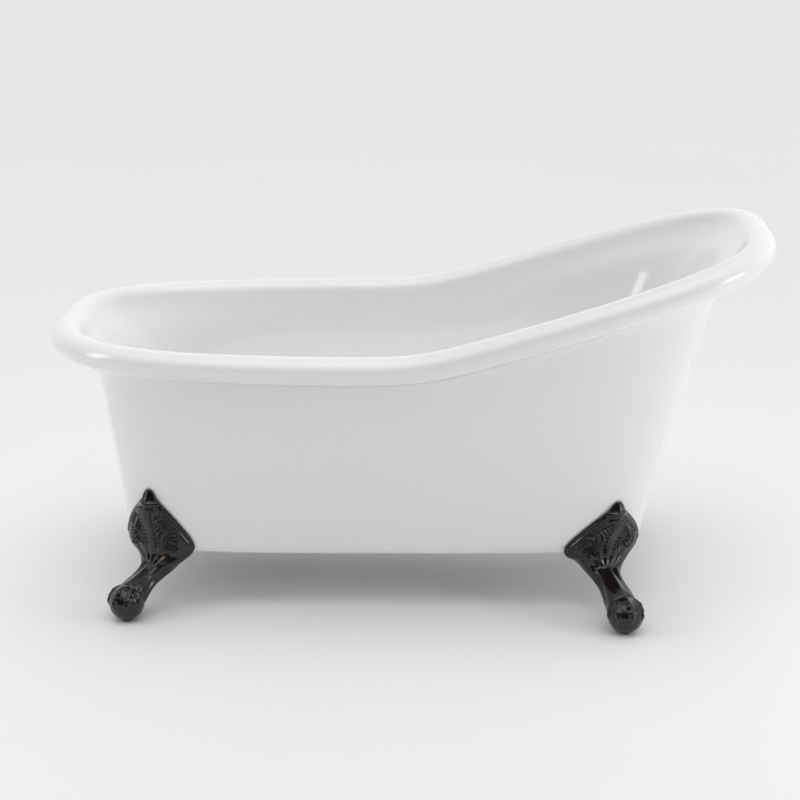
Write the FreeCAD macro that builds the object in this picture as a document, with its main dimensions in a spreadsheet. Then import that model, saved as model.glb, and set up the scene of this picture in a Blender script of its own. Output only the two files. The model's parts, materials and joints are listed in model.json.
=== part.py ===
import FreeCAD, Part
import math
import os
import re

import Sketcher
from FreeCAD import Placement, Rotation, Vector

# Single-ended slipper bath on four claw-and-ball feet.
# +X runs to the raised head end, +Z is up, the floor is Z = 0 and the origin is under the middle
# of the rim. Every length is in millimetres and every angle in degrees.

driving_sizes = {
    # rolled rim
    "rim_length": 1550,
    "rim_width": 736,
    "rim_squareness": 3.3,  # exponent of the oval: 2 is an ellipse
    "rim_taper": 0.038,  # how much wider the head half is than the drain half
    "roll_width": 68,
    "roll_height": 58,
    "roll_lip_bearing": -135,  # where the roll's lip ends, 0 is outward and 90 is up
    "rim_low_height": 571,  # middle of the roll at the drain end
    "rim_slope": 0.301,
    "rim_slope_start": 33,
    "rim_slope_start_blend": 43,
    "rim_slope_end_past": 75,  # past the head end, where the climb would level out
    "rim_slope_end_blend": 70,
    "rim_drain_lift": 10.5,
    "rim_drain_lift_length": 325,
    # inner shell; every inset is measured in from the rim's outermost end or side
    "basin_wall": 6,
    "basin_knee_drop": 80,  # from the roll's middle down to where the wall straightens
    "basin_knee_drain_inset": 140,
    "basin_knee_head_inset": 152,
    "basin_knee_side_inset": 95,
    "basin_floor_lift": 58,  # above the outer shell's base
    "basin_floor_drain_inset": 275,
    "basin_floor_head_inset": 395,
    "basin_floor_side_inset": 153,
    "basin_floor_squareness": 3.2,
    "basin_cove": 80,  # how far the rounded floor edge reaches in
    # outer shell
    "skirt_wall": 5,
    "skirt_base_height": 127,
    "skirt_base_drain_inset": 159,
    "skirt_base_head_inset": 276,
    "skirt_base_side_inset": 126,
    "skirt_base_squareness": 5.2,
    "skirt_base_taper": -0.052,
    "skirt_top_drain_inset": 91,
    "skirt_top_head_inset": 103,
    "skirt_top_side_inset": 43,
    "skirt_knee_drop": 112,
    "skirt_lap_side": 6,  # how far inside the roll's middle the skirt ends, at the sides
    "skirt_lap_end": 16,
    "skirt_edge_round": 5,
    "skirt_flange_width": 110,
    "bond_gap": 0.5,
    "seam_bead_radius": 2.8,
    # base
    "board_thickness": 12,
    "board_wall_gap": 12,
    "seat_gap": 0.3,  # bedding left between stacked flat pieces
    "waste_opening_radius": 60,
    "batten_width": 40,
    "batten_offset": 62,
    "batten_opening_gap": 18,  # from the waste opening to the battens' ends
    "batten_head_inset": 155,  # from the bath floor's head end
    "crossbar_width": 50,
    "crossbar_thickness": 6,
    "crossbar_overhang": 20,  # past the outer bolts
    "crossbar_drain_inset": 71,  # from the base's ends
    "crossbar_head_inset": 74,
    # feet
    "drain_foot_bearing": 45,  # where each foot's ridge stands on the oval, from the long axis
    "head_foot_bearing": 45.7,
    "foot_clearance": 1.2,
    "foot_edge": 7,
    "drain_shield_height": 151,  # above the base
    "head_shield_height": 130,
    "foot_ridge": 27,
    "foot_wing": 97,
    "foot_neck_radius": 24,
    "foot_neck_drop": 34,  # below the base
    "ball_radius": 38,
    "ball_centre_height": 38.6,
    "drain_ball_inset": 17,  # from the base's end to the ball's middle
    "drain_ball_spread": 50,  # from the base's side to the ball's middle
    "head_ball_inset": 35,
    "head_ball_spread": 80,
    "toe_radius": 9,
    "toe_stand": 1,  # how far outside the ball's face a toe's middle runs
    "wrist_elevation": 48,  # where the leg meets the ball, above level
    "toe_start": 44,  # from the wrist, round the ball
    "toe_end": 112,
    "nail_length": 15,
    "nail_hook": 0.45,
    "nail_tip_radius": 2,
    "lug_thickness": 10,
    "lug_half_width": 24,
    "bolt_inner_inset": 120,  # from the base's side
    "bolt_outer_inset": 76,
    # foot fixings
    "bolt_radius": 5,
    "bolt_hole_radius": 5.5,
    "bolt_head_across": 17,
    "bolt_head_height": 6.4,
    "washer_radius": 10,
    "washer_thickness": 2,
    "washer_gap": 0.1,
    "thread_gap": 0.1,
    "bolt_end": 3,
    "nut_height": 8,
    # levelling glides
    "glide_radius": 12,
    "glide_thickness": 4.6,
    "glide_pocket_gap": 0.5,
    "glide_stud_radius": 4,
    "glide_stud_length": 28,
    "glide_head_radius": 10,
    "glide_head_thickness": 2,
    "glide_bore_depth": 42,
    "running_gap": 0.05,
    # waste
    "waste_inset": 160,  # from the bath floor's drain end
    "waste_hole_radius": 26,
    "waste_flange_radius": 36,
    "waste_flange_thickness": 5,
    "waste_sleeve_radius": 24,
    "waste_sleeve_bore": 20.5,
    "waste_sleeve_depth": 23,
    "waste_mouth_radius": 31,
    "waste_mouth_depth": 3,
    "waste_neck_height": 6,
    "waste_gasket_thickness": 1.6,
    "waste_cup_radius": 33,
    "waste_cup_wall": 3.5,
    "waste_cup_depth": 64,
    "waste_tail_radius": 20,
    "waste_tail_bore": 17.2,
    "waste_tail_length": 44,
    "waste_inlet_radius": 13,
    "waste_inlet_length": 24,
    "plug_radius": 28.5,
    "plug_depth": 2,
    "plug_seat_radius": 19,
    "plug_seal_radius": 26,
    "plug_seal_thickness": 1.6,
    "plug_rest_gap": 0.3,
    "stem_radius": 4,
    "stem_length": 46,
    "hub_radius": 8,
    "hub_height": 10,
    "spoke_width": 4,
    "rocker_arm": 20,
    "rocker_gap": 0.3,
    "ear_reach": 21,
    "ear_gap": 6,
    "ear_pin_inset": 4,
    "rocker_width": 8,
    "rocker_thickness": 5,
    "rocker_boss_radius": 5,
    "rocker_pin_radius": 2,
    # overflow
    "overflow_drop": 161,  # from the roll's middle at the drain end
    "overflow_hole_radius": 26,
    "overflow_sleeve_radius": 24,
    "overflow_sleeve_bore": 19,
    "overflow_flange_radius": 35,
    "overflow_flange_thickness": 4,
    "overflow_gasket_thickness": 2,
    "overflow_wall_gap": 0.8,
    "overflow_neck_height": 6,
    "overflow_cup_depth": 26,
    "overflow_cup_radius": 32,
    "overflow_cup_wall": 3,
    "overflow_outlet_length": 20,
    "knob_radius": 34,
    "knob_thickness": 10,
    "knob_gap": 5,
    "knob_shaft_radius": 4,
    "knob_shaft_length": 24,
    "pipe_radius": 11,
    "pipe_bore": 9.2,
    "pipe_bend": 60,
    "pipe_socket": 14,
    "pipe_fit_gap": 0.1,
    "pipe_bar_gap": 1.4,
    "cable_radius": 2.5,
    "cable_offset": 21,
    "cable_boss_radius": 5,
    "cable_boss_length": 16,
    "cable_socket": 8,
    "slip_nut_radius": 15.5,
    "slip_nut_length": 14,
    "slip_nut_lap": 9,
}

ring_points = 64
roll_step = 45
bead_turns = 16
step = 1e-4


def start_document(sizes):
    document = FreeCAD.newDocument("slipper_bath")
    sheet = document.addObject("Spreadsheet::Sheet", "Sizes")
    for row, (alias, number) in enumerate(sizes.items(), start=1):
        sheet.set(f"A{row}", alias.replace("_", " "))
        sheet.set(f"B{row}", str(number))
        sheet.setAlias(f"B{row}", alias)
    document.recompute()
    return document, sheet


doc, sheet = start_document(driving_sizes)
size = {alias: float(sheet.get(alias)) for alias in driving_sizes}
pieces = []


# ---------------------------------------------------------------- the bath's own curves

roll_half_width = size["roll_width"] / 2
roll_half_height = size["roll_height"] / 2
rim_reach = size["rim_length"] / 2 - roll_half_width
rim_half_width = size["rim_width"] / 2 - roll_half_width


def drain_end(inset):
    return size[inset] - size["rim_length"] / 2


def head_end(inset):
    return size["rim_length"] / 2 - size[inset]


def side_at(inset):
    return size["rim_width"] / 2 - size[inset]


def fullness(turn):
    """How much wider than a circle its ring of poles is, with one pole at each turn of so much."""
    return 3 / (2 + math.cos(math.radians(turn)))


def blend(first, second, share):
    return first + (second - first) * share


def oval(start, end, half_width, squareness, taper, bearing):
    """Plan point of a squared oval between two X values; bearing is an angle in radians."""
    along, across = math.cos(bearing), math.sin(bearing)
    reach = (abs(along) ** squareness + abs(across) ** squareness) ** (-1 / squareness)
    middle, half_length = (start + end) / 2, (end - start) / 2
    return (
        middle + half_length * along * reach,
        half_width * across * reach * (1 + taper * along * reach),
    )


def soft_ramp(distance, softness):
    return softness * math.log1p(math.exp(distance / softness))


def rim_height(x):
    """Height of the roll's middle: level, then climbing to the head end."""
    climb = soft_ramp(x - size["rim_slope_start"], size["rim_slope_start_blend"])
    slope_end = size["rim_length"] / 2 + size["rim_slope_end_past"]
    climb -= soft_ramp(x - slope_end, size["rim_slope_end_blend"])
    lift = max(0, drain_end("rim_drain_lift_length") - x) / size["rim_drain_lift_length"]
    return size["rim_low_height"] + size["rim_slope"] * climb + size["rim_drain_lift"] * lift**2


def rim_middle(bearing):
    x, y = oval(
        -rim_reach, rim_reach, rim_half_width, size["rim_squareness"], size["rim_taper"], bearing
    )
    return Vector(x, y, rim_height(x))


def rim_frame(bearing):
    """The roll's middle there, the level outward direction and the direction across the roll."""
    along = rim_middle(bearing + step) - rim_middle(bearing - step)
    outward = along.cross(Vector(0, 0, 1)).normalize()
    upward = outward.cross(along.normalize())
    return rim_middle(bearing), outward, upward


def on_roll(bearing, across, up):
    middle, outward, upward = rim_frame(bearing)
    return middle + outward * across + upward * up


def roll_underside(across):
    return -roll_half_height * math.sqrt(1 - (across / roll_half_width) ** 2)


def basin_knee(bearing, growth):
    x, y = oval(
        drain_end("basin_knee_drain_inset") - growth,
        head_end("basin_knee_head_inset") + growth,
        side_at("basin_knee_side_inset") + growth,
        size["rim_squareness"],
        size["rim_taper"],
        bearing,
    )
    return Vector(x, y, rim_middle(bearing).z - size["basin_knee_drop"])


def basin_floor(bearing, growth):
    x, y = oval(
        drain_end("basin_floor_drain_inset") - growth,
        head_end("basin_floor_head_inset") + growth,
        side_at("basin_floor_side_inset") + growth,
        size["basin_floor_squareness"],
        0,
        bearing,
    )
    return Vector(x, y, size["skirt_base_height"] + size["basin_floor_lift"])


def basin_section(bearing, wall):
    """Poles from the lip over the roll, down the wall and on to the floor.

    wall is 0 for the face that is seen and the wall's thickness for the face behind it.
    """
    down = Vector(0, 0, -wall)
    poles = []
    for turn in (0, 1 / 3, 1, 2, 3, 4, 5, 6):
        angle = math.radians(size["roll_lip_bearing"] + roll_step * turn)
        full = blend(1, fullness(roll_step), min(turn, 1))
        across = (roll_half_width - wall) * math.cos(angle) * full
        up = (roll_half_height - wall) * math.sin(angle) * full
        poles.append(on_roll(bearing, across, up))
    inner_edge = on_roll(bearing, wall - roll_half_width, -wall / 2)
    knee = basin_knee(bearing, wall)
    corner = basin_floor(bearing, wall)
    cove_share = size["basin_cove"] / (knee - corner).Length
    poles += [
        inner_edge,
        blend(inner_edge, knee, 0.5),
        knee,
        blend(knee, corner, 0.5),
        blend(corner, knee, cove_share) + down * cove_share,
        corner + down,
        basin_floor(bearing, wall - size["basin_cove"]) + down,
        basin_floor(bearing, wall - 1.4 * size["basin_cove"]) + down,
    ]
    return poles


def skirt_base(bearing, growth):
    x, y = oval(
        drain_end("skirt_base_drain_inset") - growth,
        head_end("skirt_base_head_inset") + growth,
        side_at("skirt_base_side_inset") + growth,
        size["skirt_base_squareness"],
        size["skirt_base_taper"],
        bearing,
    )
    return Vector(x, y, size["skirt_base_height"])


def skirt_top(bearing, growth):
    x, y = oval(
        drain_end("skirt_top_drain_inset") - growth,
        head_end("skirt_top_head_inset") + growth,
        side_at("skirt_top_side_inset") + growth,
        size["rim_squareness"],
        size["rim_taper"],
        bearing,
    )
    return Vector(x, y, rim_middle(bearing).z - 0.9 * roll_half_height)


def skirt_wall_point(bearing, height, growth=0):
    """A point of the straight wall, on the line from the base's outline to the rim's."""
    base, top = skirt_base(bearing, growth), skirt_top(bearing, growth)
    return blend(base, top, (height - base.z) / (top.z - base.z))


def skirt_section(bearing, wall):
    """Poles from the base flange's inner edge, round the base's edge and up to the roll."""
    up = Vector(0, 0, wall)
    base_height = size["skirt_base_height"]
    knee_height = rim_middle(bearing).z - size["skirt_knee_drop"]
    across = -blend(size["skirt_lap_side"], size["skirt_lap_end"], math.cos(bearing) ** 2) - wall
    top_edge = on_roll(bearing, across, roll_underside(across) - size["bond_gap"])
    round_edge = size["skirt_edge_round"]
    return [
        skirt_base(bearing, -size["skirt_flange_width"]) + up,
        skirt_base(bearing, -0.6 * size["skirt_flange_width"]) + up,
        skirt_base(bearing, -2 * round_edge - wall) + up,
        skirt_base(bearing, -wall) + up,
        skirt_wall_point(bearing, base_height + 2 * round_edge + wall, -wall),
        skirt_wall_point(bearing, blend(base_height, knee_height, 0.35), -wall),
        skirt_wall_point(bearing, blend(base_height, knee_height, 0.7), -wall),
        skirt_wall_point(bearing, knee_height, -wall),
        skirt_wall_point(bearing, knee_height + 0.5 * size["skirt_knee_drop"], -wall),
        top_edge,
    ]


# ---------------------------------------------------------------- skins and solids


def settle(ring):
    """Moves a closed ring's poles out until their smooth curve passes through the given points."""
    poles = list(ring)
    count = len(ring)
    for _ in range(8):
        curve = [
            (poles[i - 1] + poles[i] * 4 + poles[(i + 1) % count]) * (1 / 6) for i in range(count)
        ]
        poles = [pole + wanted - drawn for pole, wanted, drawn in zip(poles, ring, curve)]
    return poles


def ring_bearings():
    return [2 * math.pi * i / ring_points for i in range(ring_points)]


def skin(section, wall):
    """Smooth face, closed round the bath, through one section for each bearing."""
    sections = [section(bearing, wall) for bearing in ring_bearings()]
    rings = [settle(ring) for ring in zip(*sections)]
    surface = Part.BSplineSurface()
    surface.buildFromPolesMultsKnots(
        [list(column) for column in zip(*rings)],
        [1] * (ring_points + 1),
        [4] + [1] * (len(rings) - 4) + [4],
        list(range(ring_points + 1)),
        list(range(len(rings) - 2)),
        True,
        False,
        3,
        3,
    )
    return surface


def end_curve(surface, first):
    low, high = surface.bounds()[2:]
    return surface.vIso(low if first else high).toShape()


def closed_solid(faces):
    shell = Part.makeShell(faces)
    if len(faces) > 1:
        shell.sewShape()
    solid = Part.makeSolid(shell)
    if solid.Volume < 0:
        solid.reverse()
    return solid


def disc(edge):
    return Part.Face(Part.Wire([edge]))


def basin_solid():
    front, back = skin(basin_section, 0), skin(basin_section, size["basin_wall"])
    return front, back, closed_solid(
        [
            front.toShape(),
            back.toShape(),
            Part.makeRuledSurface(end_curve(front, True), end_curve(back, True)),
            disc(end_curve(front, False)),
            disc(end_curve(back, False)),
        ]
    )


def skirt_solid():
    outside, inside = skin(skirt_section, 0), skin(skirt_section, size["skirt_wall"])
    return outside, closed_solid(
        [
            outside.toShape(),
            inside.toShape(),
            Part.makeRuledSurface(end_curve(outside, True), end_curve(inside, True)),
            Part.makeRuledSurface(end_curve(outside, False), end_curve(inside, False)),
        ]
    )


def bead_solid():
    """Round bead laid in the corner between the skirt's top and the roll."""
    radius = size["seam_bead_radius"]
    pole_radius = radius * fullness(360 / bead_turns)
    rings = []
    for turn in range(bead_turns):
        angle = 2 * math.pi * turn / bead_turns
        ring = []
        for bearing in ring_bearings():
            lap = blend(size["skirt_lap_side"], size["skirt_lap_end"], math.cos(bearing) ** 2)
            middle = radius + size["bond_gap"] - lap
            drop = roll_underside(middle) - radius - size["bond_gap"]
            across = middle + pole_radius * math.cos(angle)
            ring.append(on_roll(bearing, across, drop + pole_radius * math.sin(angle)))
        rings.append(settle(ring))
    surface = Part.BSplineSurface()
    surface.buildFromPolesMultsKnots(
        [list(column) for column in zip(*rings)],
        [1] * (ring_points + 1),
        [1] * (bead_turns + 1),
        list(range(ring_points + 1)),
        list(range(bead_turns + 1)),
        True,
        True,
        3,
        3,
    )
    return closed_solid([surface.toShape()])


# ---------------------------------------------------------------- document objects


def bound(expression):
    """The same expression with each name read from the sheet."""
    return re.sub(r"\b[a-z][a-z_]*\b(?!\()", lambda name: "Sizes." + name.group(), expression)


def number(expression):
    return float(sheet.evalExpression(bound(expression)))


def keep(piece):
    pieces.append(piece)
    return piece


def shaped(label, shape, place=None):
    """A piece whose form is worked out here rather than by a feature."""
    feature = doc.addObject("Part::Feature", label)
    feature.Label = label
    feature.Shape = shape
    if place is not None:
        feature.Placement = place
    return feature


def primitive(kind, label, place=None, **fields):
    part = doc.addObject("Part::" + kind, label)
    part.Label = label
    for field, expression in fields.items():
        part.setExpression(field, bound(expression))
    if place is not None:
        part.Placement = place
    return part


def moved(part, x="0", y="0", z="0"):
    for axis, expression in (("x", x), ("y", y), ("z", z)):
        part.setExpression(f"Placement.Base.{axis}", bound(expression))
    return part


def fused(label, parts):
    fusion = doc.addObject("Part::MultiFuse", label)
    fusion.Label = label
    fusion.Shapes = parts
    return fusion


def cut(label, base, tool):
    result = doc.addObject("Part::Cut", label)
    result.Label = label
    result.Base = base
    result.Tool = tool
    return result


def grouped(label, parts):
    group = doc.addObject("Part::Compound", label)
    group.Label = label
    group.Links = parts
    return group


def origin_plane(body, role):
    return next(feature for feature in body.Origin.OriginFeatures if feature.Role == role)


def outline_sketch(body, corners):
    """Closed outline in the body's XZ plane; each corner is a pair of expressions."""
    sketch = body.newObject("Sketcher::SketchObject", body.Name + "_outline")
    sketch.AttachmentSupport = [(origin_plane(body, "XZ_Plane"), "")]
    sketch.MapMode = "FlatFace"
    points = [Vector(number(across), number(up), 0) for across, up in corners]
    count = len(points)
    for i, point in enumerate(points):
        sketch.addGeometry(Part.LineSegment(point, points[(i + 1) % count]))
    for i in range(count):
        sketch.addConstraint(Sketcher.Constraint("Coincident", i, 2, (i + 1) % count, 1))
    for i, (across, up) in enumerate(corners):
        for kind, expression in (("DistanceX", across), ("DistanceY", up)):
            value = number(expression)
            index = sketch.addConstraint(Sketcher.Constraint(kind, -1, 1, i, 1, value))
            sketch.setExpression(f"Constraints[{index}]", bound(expression))
    return sketch


def turned(label, corners, place=None):
    """A turned piece: its half outline spun round the body's Z axis."""
    body = doc.addObject("PartDesign::Body", label)
    body.Label = label
    sketch = outline_sketch(body, corners)
    spin = body.newObject("PartDesign::Revolution", label + "_spin")
    spin.Profile = sketch
    spin.ReferenceAxis = (sketch, ["V_Axis"])
    spin.Angle = 360
    sketch.Visibility = False
    if place is not None:
        body.Placement = place
    return body


def ring_corners(inner, outer, low, high):
    return [(inner, low), (outer, low), (outer, high), (inner, high)]


# ---------------------------------------------------------------- waste and overflow places

waste_x = "(basin_floor_drain_inset - rim_length / 2 + waste_inset)"
bath_floor = "(skirt_base_height + basin_floor_lift)"
waste_place = Placement(Vector(number(waste_x), 0, number(bath_floor)), Rotation())


def overflow_spot(surface):
    """Place on the drain end's wall, with its Z axis pointing square into the bath."""
    knee, corner = basin_knee(math.pi, 0), basin_floor(math.pi, 0)
    height = rim_middle(math.pi).z - size["overflow_drop"]
    share = (height - corner.z) / (knee.z - corner.z)
    u, v = surface.parameter(blend(corner, knee, share))
    inward = surface.normal(u, v)
    if inward.x < 0:
        inward = inward * -1
    turn = Rotation(Vector(0, 1, 0), Vector(0, 1, 0).cross(inward) * -1, inward, "ZXY")
    return Placement(surface.value(u, v), turn)


# ---------------------------------------------------------------- shells

basin_front, basin_back, basin_blank = basin_solid()
overflow_place = overflow_spot(basin_front)
into_bath = overflow_place.Rotation.multVec(Vector(0, 0, 1))


def rod_from(label, radius, start, height, place):
    """A round rod along the place's Z axis, from the given distance along it."""
    rod = primitive("Cylinder", label, None, Radius=radius, Height=height)
    rod.Placement = place * Placement(Vector(0, 0, number(start)), Rotation())
    return rod


keep(
    cut(
        "basin_shell",
        shaped("basin_blank", basin_blank),
        fused(
            "basin_holes",
            [
                rod_from(
                    "waste_hole", "waste_hole_radius", "-3 * basin_wall", "6 * basin_wall",
                    waste_place,
                ),
                rod_from(
                    "overflow_hole", "overflow_hole_radius", "-3 * basin_wall", "6 * basin_wall",
                    overflow_place,
                ),
            ],
        ),
    )
)


def board_blank():
    """The oval base board, inside the skirt's wall and on its flange."""
    growth = -size["skirt_wall"] - size["board_wall_gap"]
    ring = settle([skirt_base(bearing, growth) for bearing in ring_bearings()])
    curve = Part.BSplineCurve()
    curve.buildFromPolesMultsKnots(
        ring, [1] * (ring_points + 1), list(range(ring_points + 1)), True, 3
    )
    lift = Vector(0, 0, size["skirt_wall"] + size["seat_gap"])
    face = disc(curve.toShape())
    face.translate(lift)
    return face.extrude(Vector(0, 0, size["board_thickness"]))


board_top = "skirt_base_height + skirt_wall + seat_gap + board_thickness"
bar_bottom = board_top + " + seat_gap"
bar_top = bar_bottom + " + crossbar_thickness"
base_drain = "(skirt_base_drain_inset - rim_length / 2)"
base_head = "(rim_length / 2 - skirt_base_head_inset)"
base_side = "(rim_width / 2 - skirt_base_side_inset)"
bar_at = {
    "drain": f"({base_drain} + crossbar_drain_inset)",
    "head": f"({base_head} - crossbar_head_inset)",
}
bolt_at = {row: f"({base_side} - bolt_{row}_inset)" for row in ("inner", "outer")}
bolt_rows = [
    (bar_at[end], f"{side} * {bolt_at[row]}")
    for end in ("drain", "head")
    for side in (-1, 1)
    for row in ("inner", "outer")
]


def bolt_holes(label, low, height):
    holes = []
    for i, (x, y) in enumerate(bolt_rows):
        rod = primitive("Cylinder", f"{label}_{i}", Radius="bolt_hole_radius", Height=height)
        holes.append(moved(rod, x, y, low))
    return holes


skirt_face, skirt_blank = skirt_solid()
keep(
    cut(
        "outer_shell",
        shaped("skirt_blank", skirt_blank),
        fused(
            "skirt_holes",
            bolt_holes("skirt_bolt", "skirt_base_height - skirt_wall", "3 * skirt_wall"),
        ),
    )
)
keep(shaped("rim_seam_bead", bead_solid()))

board_opening = moved(
    primitive(
        "Cylinder", "board_opening", Radius="waste_opening_radius", Height="3 * board_thickness"
    ),
    waste_x,
    "0",
    "skirt_base_height",
)
keep(
    cut(
        "base_board",
        shaped("board_blank", board_blank()),
        fused(
            "board_holes",
            [board_opening] + bolt_holes("board_bolt", "skirt_base_height", "3 * board_thickness"),
        ),
    )
)

batten_start = f"({waste_x} + waste_opening_radius + batten_opening_gap)"
batten_end = "(rim_length / 2 - basin_floor_head_inset - batten_head_inset)"
for side, sign in (("front", "-1"), ("back", "1")):
    batten = primitive(
        "Box",
        "floor_batten_" + side,
        Length=f"{batten_end} - {batten_start}",
        Width="batten_width",
        Height=f"{bath_floor} - basin_wall - seat_gap - ({bar_bottom})",
    )
    keep(
        moved(batten, batten_start, f"{sign} * batten_offset - batten_width / 2", bar_bottom)
    )

bar_half_length = f"({bolt_at['outer']} + crossbar_overhang)"
for end in ("drain", "head"):
    bar = moved(
        primitive(
            "Box",
            f"crossbar_{end}_bar",
            Length="crossbar_width",
            Width=f"2 * {bar_half_length}",
            Height="crossbar_thickness",
        ),
        f"{bar_at[end]} - crossbar_width / 2",
        f"-{bar_half_length}",
        bar_bottom,
    )
    own_holes = [
        moved(
            primitive(
                "Cylinder",
                f"crossbar_{end}_bolt_{i}",
                Radius="bolt_hole_radius",
                Height="3 * crossbar_thickness",
            ),
            x,
            y,
            board_top,
        )
        for i, (x, y) in enumerate(bolt_rows)
        if x == bar_at[end]
    ]
    keep(cut("crossbar_" + end, bar, fused(f"crossbar_{end}_holes", own_holes)))


# ---------------------------------------------------------------- feet


straight_rows = (3, 6)  # between these pole rows the outer shell's wall is straight up and down


def on_skirt(bearing, height):
    """A point of the outer shell's wall; below the straight part, of that carried straight down."""
    around = bearing / (2 * math.pi) * ring_points % ring_points
    low, high = straight_rows
    foot, above = skirt_face.value(around, low), skirt_face.value(around, low + 0.1)
    if height < foot.z:
        return foot + (above - foot) * ((height - foot.z) / (above.z - foot.z))
    for _ in range(30):
        middle = (low + high) / 2
        if skirt_face.value(around, middle).z < height:
            low = middle
        else:
            high = middle
    return skirt_face.value(around, low)


def walk_round(bearing, height, distance):
    """The bearing reached by going that far along the skirt at one height."""
    strides = 12
    for _ in range(strides):
        rise = skirt_wall_point(bearing + step, height) - skirt_wall_point(bearing - step, height)
        bearing += distance / strides / (rise.Length / (2 * step))
    return bearing


def off_skirt(bearing, height, distance, standoff):
    """A point standing off the skirt, some way round it from the bearing."""
    there = walk_round(bearing, height, distance)
    along = on_skirt(there + 10 * step, height) - on_skirt(there - 10 * step, height)
    up = on_skirt(there, height + 1) - on_skirt(there, height)
    outward = along.cross(up).normalize()
    return on_skirt(there, height) + outward * standoff


# Outline of the shield that wraps the bath's corner, from its leaf tip down to its wings:
# height above the base over the shield's height, half width over the wing's, ridge over the ridge's.
shield_outline = (
    (1.00, 0.05, 0.22),
    (0.93, 0.14, 0.41),
    (0.84, 0.19, 0.72),
    (0.77, 0.31, 1.00),
    (0.60, 0.56, 1.04),
    (0.40, 0.81, 0.62),
    (0.22, 1.00, 0.40),
    (0.09, 0.97, 0.38),
    (0.00, 0.84, 0.42),
)
across_columns = 10


def stations(count):
    """Where along a patch each of its pole rows, or columns, pulls the most."""
    knots = [0] * 4 + list(range(1, count - 3)) + [count - 3] * 4
    return [sum(knots[i + 1:i + 4]) / 3 for i in range(count)]


across_shares = [2 * station / (across_columns - 3) - 1 for station in stations(across_columns)]


def shield_rows(bearing, tall):
    """Front and back rows of the shield, each row from one wing to the other."""
    front, back = [], []
    for height_share, width_share, ridge_share in shield_outline:
        height = size["skirt_base_height"] + tall * height_share
        half_width = size["foot_wing"] * width_share
        front_row, back_row = [], []
        for share in across_shares:
            crown = math.cos(share * math.pi / 2) ** 1.2 if abs(share) < 1 else 0
            edge = size["foot_edge"] * (1 if abs(share) < 1 else 0.75)
            standoff = edge + (size["foot_ridge"] * ridge_share - edge) * crown
            distance = half_width * share
            front_row.append(off_skirt(bearing, height, distance, max(standoff, edge)))
            back_row.append(off_skirt(bearing, height, distance, size["foot_clearance"]))
        front.append(front_row)
        back.append(back_row)
    return front, back


def leg_rows(knee, ball):
    """Front and back pole rows of the leg, from under the shield into the ball."""
    flat = Vector(ball.x - knee.x, ball.y - knee.y, 0)
    outward = Vector(flat).normalize()
    side = Vector(-outward.y, outward.x, 0)
    neck = size["foot_neck_radius"]
    middle = knee - Vector(0, 0, size["foot_neck_drop"])
    rows = (
        # along, up, half width, front depth, back depth, wrap of the edges
        (knee + outward * 2 + Vector(0, 0, -12), 2.6 * neck, 0.55 * neck, 0.45 * neck, 30),
        (middle + outward * 2, 1.75 * neck, 0.85 * neck, 0.8 * neck, 16),
        (blend(middle, ball, 0.30), 1.05 * neck, 0.9 * neck, 0.8 * neck, 5),
        (blend(middle, ball, 0.60), 1.15 * neck, 1.15 * neck, 0.95 * neck, 0),
        (blend(middle, ball, 0.95), 1.2 * neck, 1.2 * neck, 1.1 * neck, 0),
    )
    path = (ball - middle).normalize()
    front, back = [], []
    for i, (centre, half_width, front_depth, back_depth, wrap) in enumerate(rows):
        tilt = min(1, i / 2)
        square = blend(outward, side.cross(path) * -1, tilt).normalize()
        if square.dot(outward) < 0:
            square = square * -1
        front_row, back_row = [], []
        for share in across_shares:
            bulge = math.cos(share * math.pi / 2) ** 0.7 if abs(share) < 1 else 0
            spot = centre + side * (half_width * math.sin(share * math.pi / 2))
            spot = spot - outward * (wrap * share * share)
            front_row.append(spot + square * (1.5 + front_depth * bulge))
            back_row.append(spot - square * (1.5 + back_depth * bulge))
        front.append(front_row)
        back.append(back_row)
    return front, back


def patch(rows):
    surface = Part.BSplineSurface()
    columns, lines = len(rows[0]), len(rows)
    surface.buildFromPolesMultsKnots(
        rows,
        [4] + [1] * (lines - 4) + [4],
        [4] + [1] * (columns - 4) + [4],
        list(range(lines - 2)),
        list(range(columns - 2)),
        False,
        False,
        3,
        3,
    )
    return surface


def settled_patch(rows):
    """A patch through the given points, not only drawn towards them."""
    poles = [list(row) for row in rows]
    for _ in range(60):
        surface = patch(poles)
        for i, line in enumerate(stations(len(rows))):
            for j, column in enumerate(stations(len(rows[0]))):
                poles[i][j] += rows[i][j] - surface.value(line, column)
    return patch(poles)


def casting_skin(bearing, ball, tall):
    front, back = shield_rows(bearing, tall)
    knee = skirt_wall_point(bearing, size["skirt_base_height"])
    leg_front, leg_back = leg_rows(knee, ball)
    front, back = patch(front + leg_front), settled_patch(back + leg_back)
    faces = [front.toShape(), back.toShape()]
    low_u, high_u, low_v, high_v = front.bounds()
    for end in (low_u, high_u):
        faces.append(
            Part.makeRuledSurface(front.uIso(end).toShape(), back.uIso(end).toShape())
        )
    for end in (low_v, high_v):
        faces.append(
            Part.makeRuledSurface(front.vIso(end).toShape(), back.vIso(end).toShape())
        )
    return closed_solid(faces)


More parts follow.
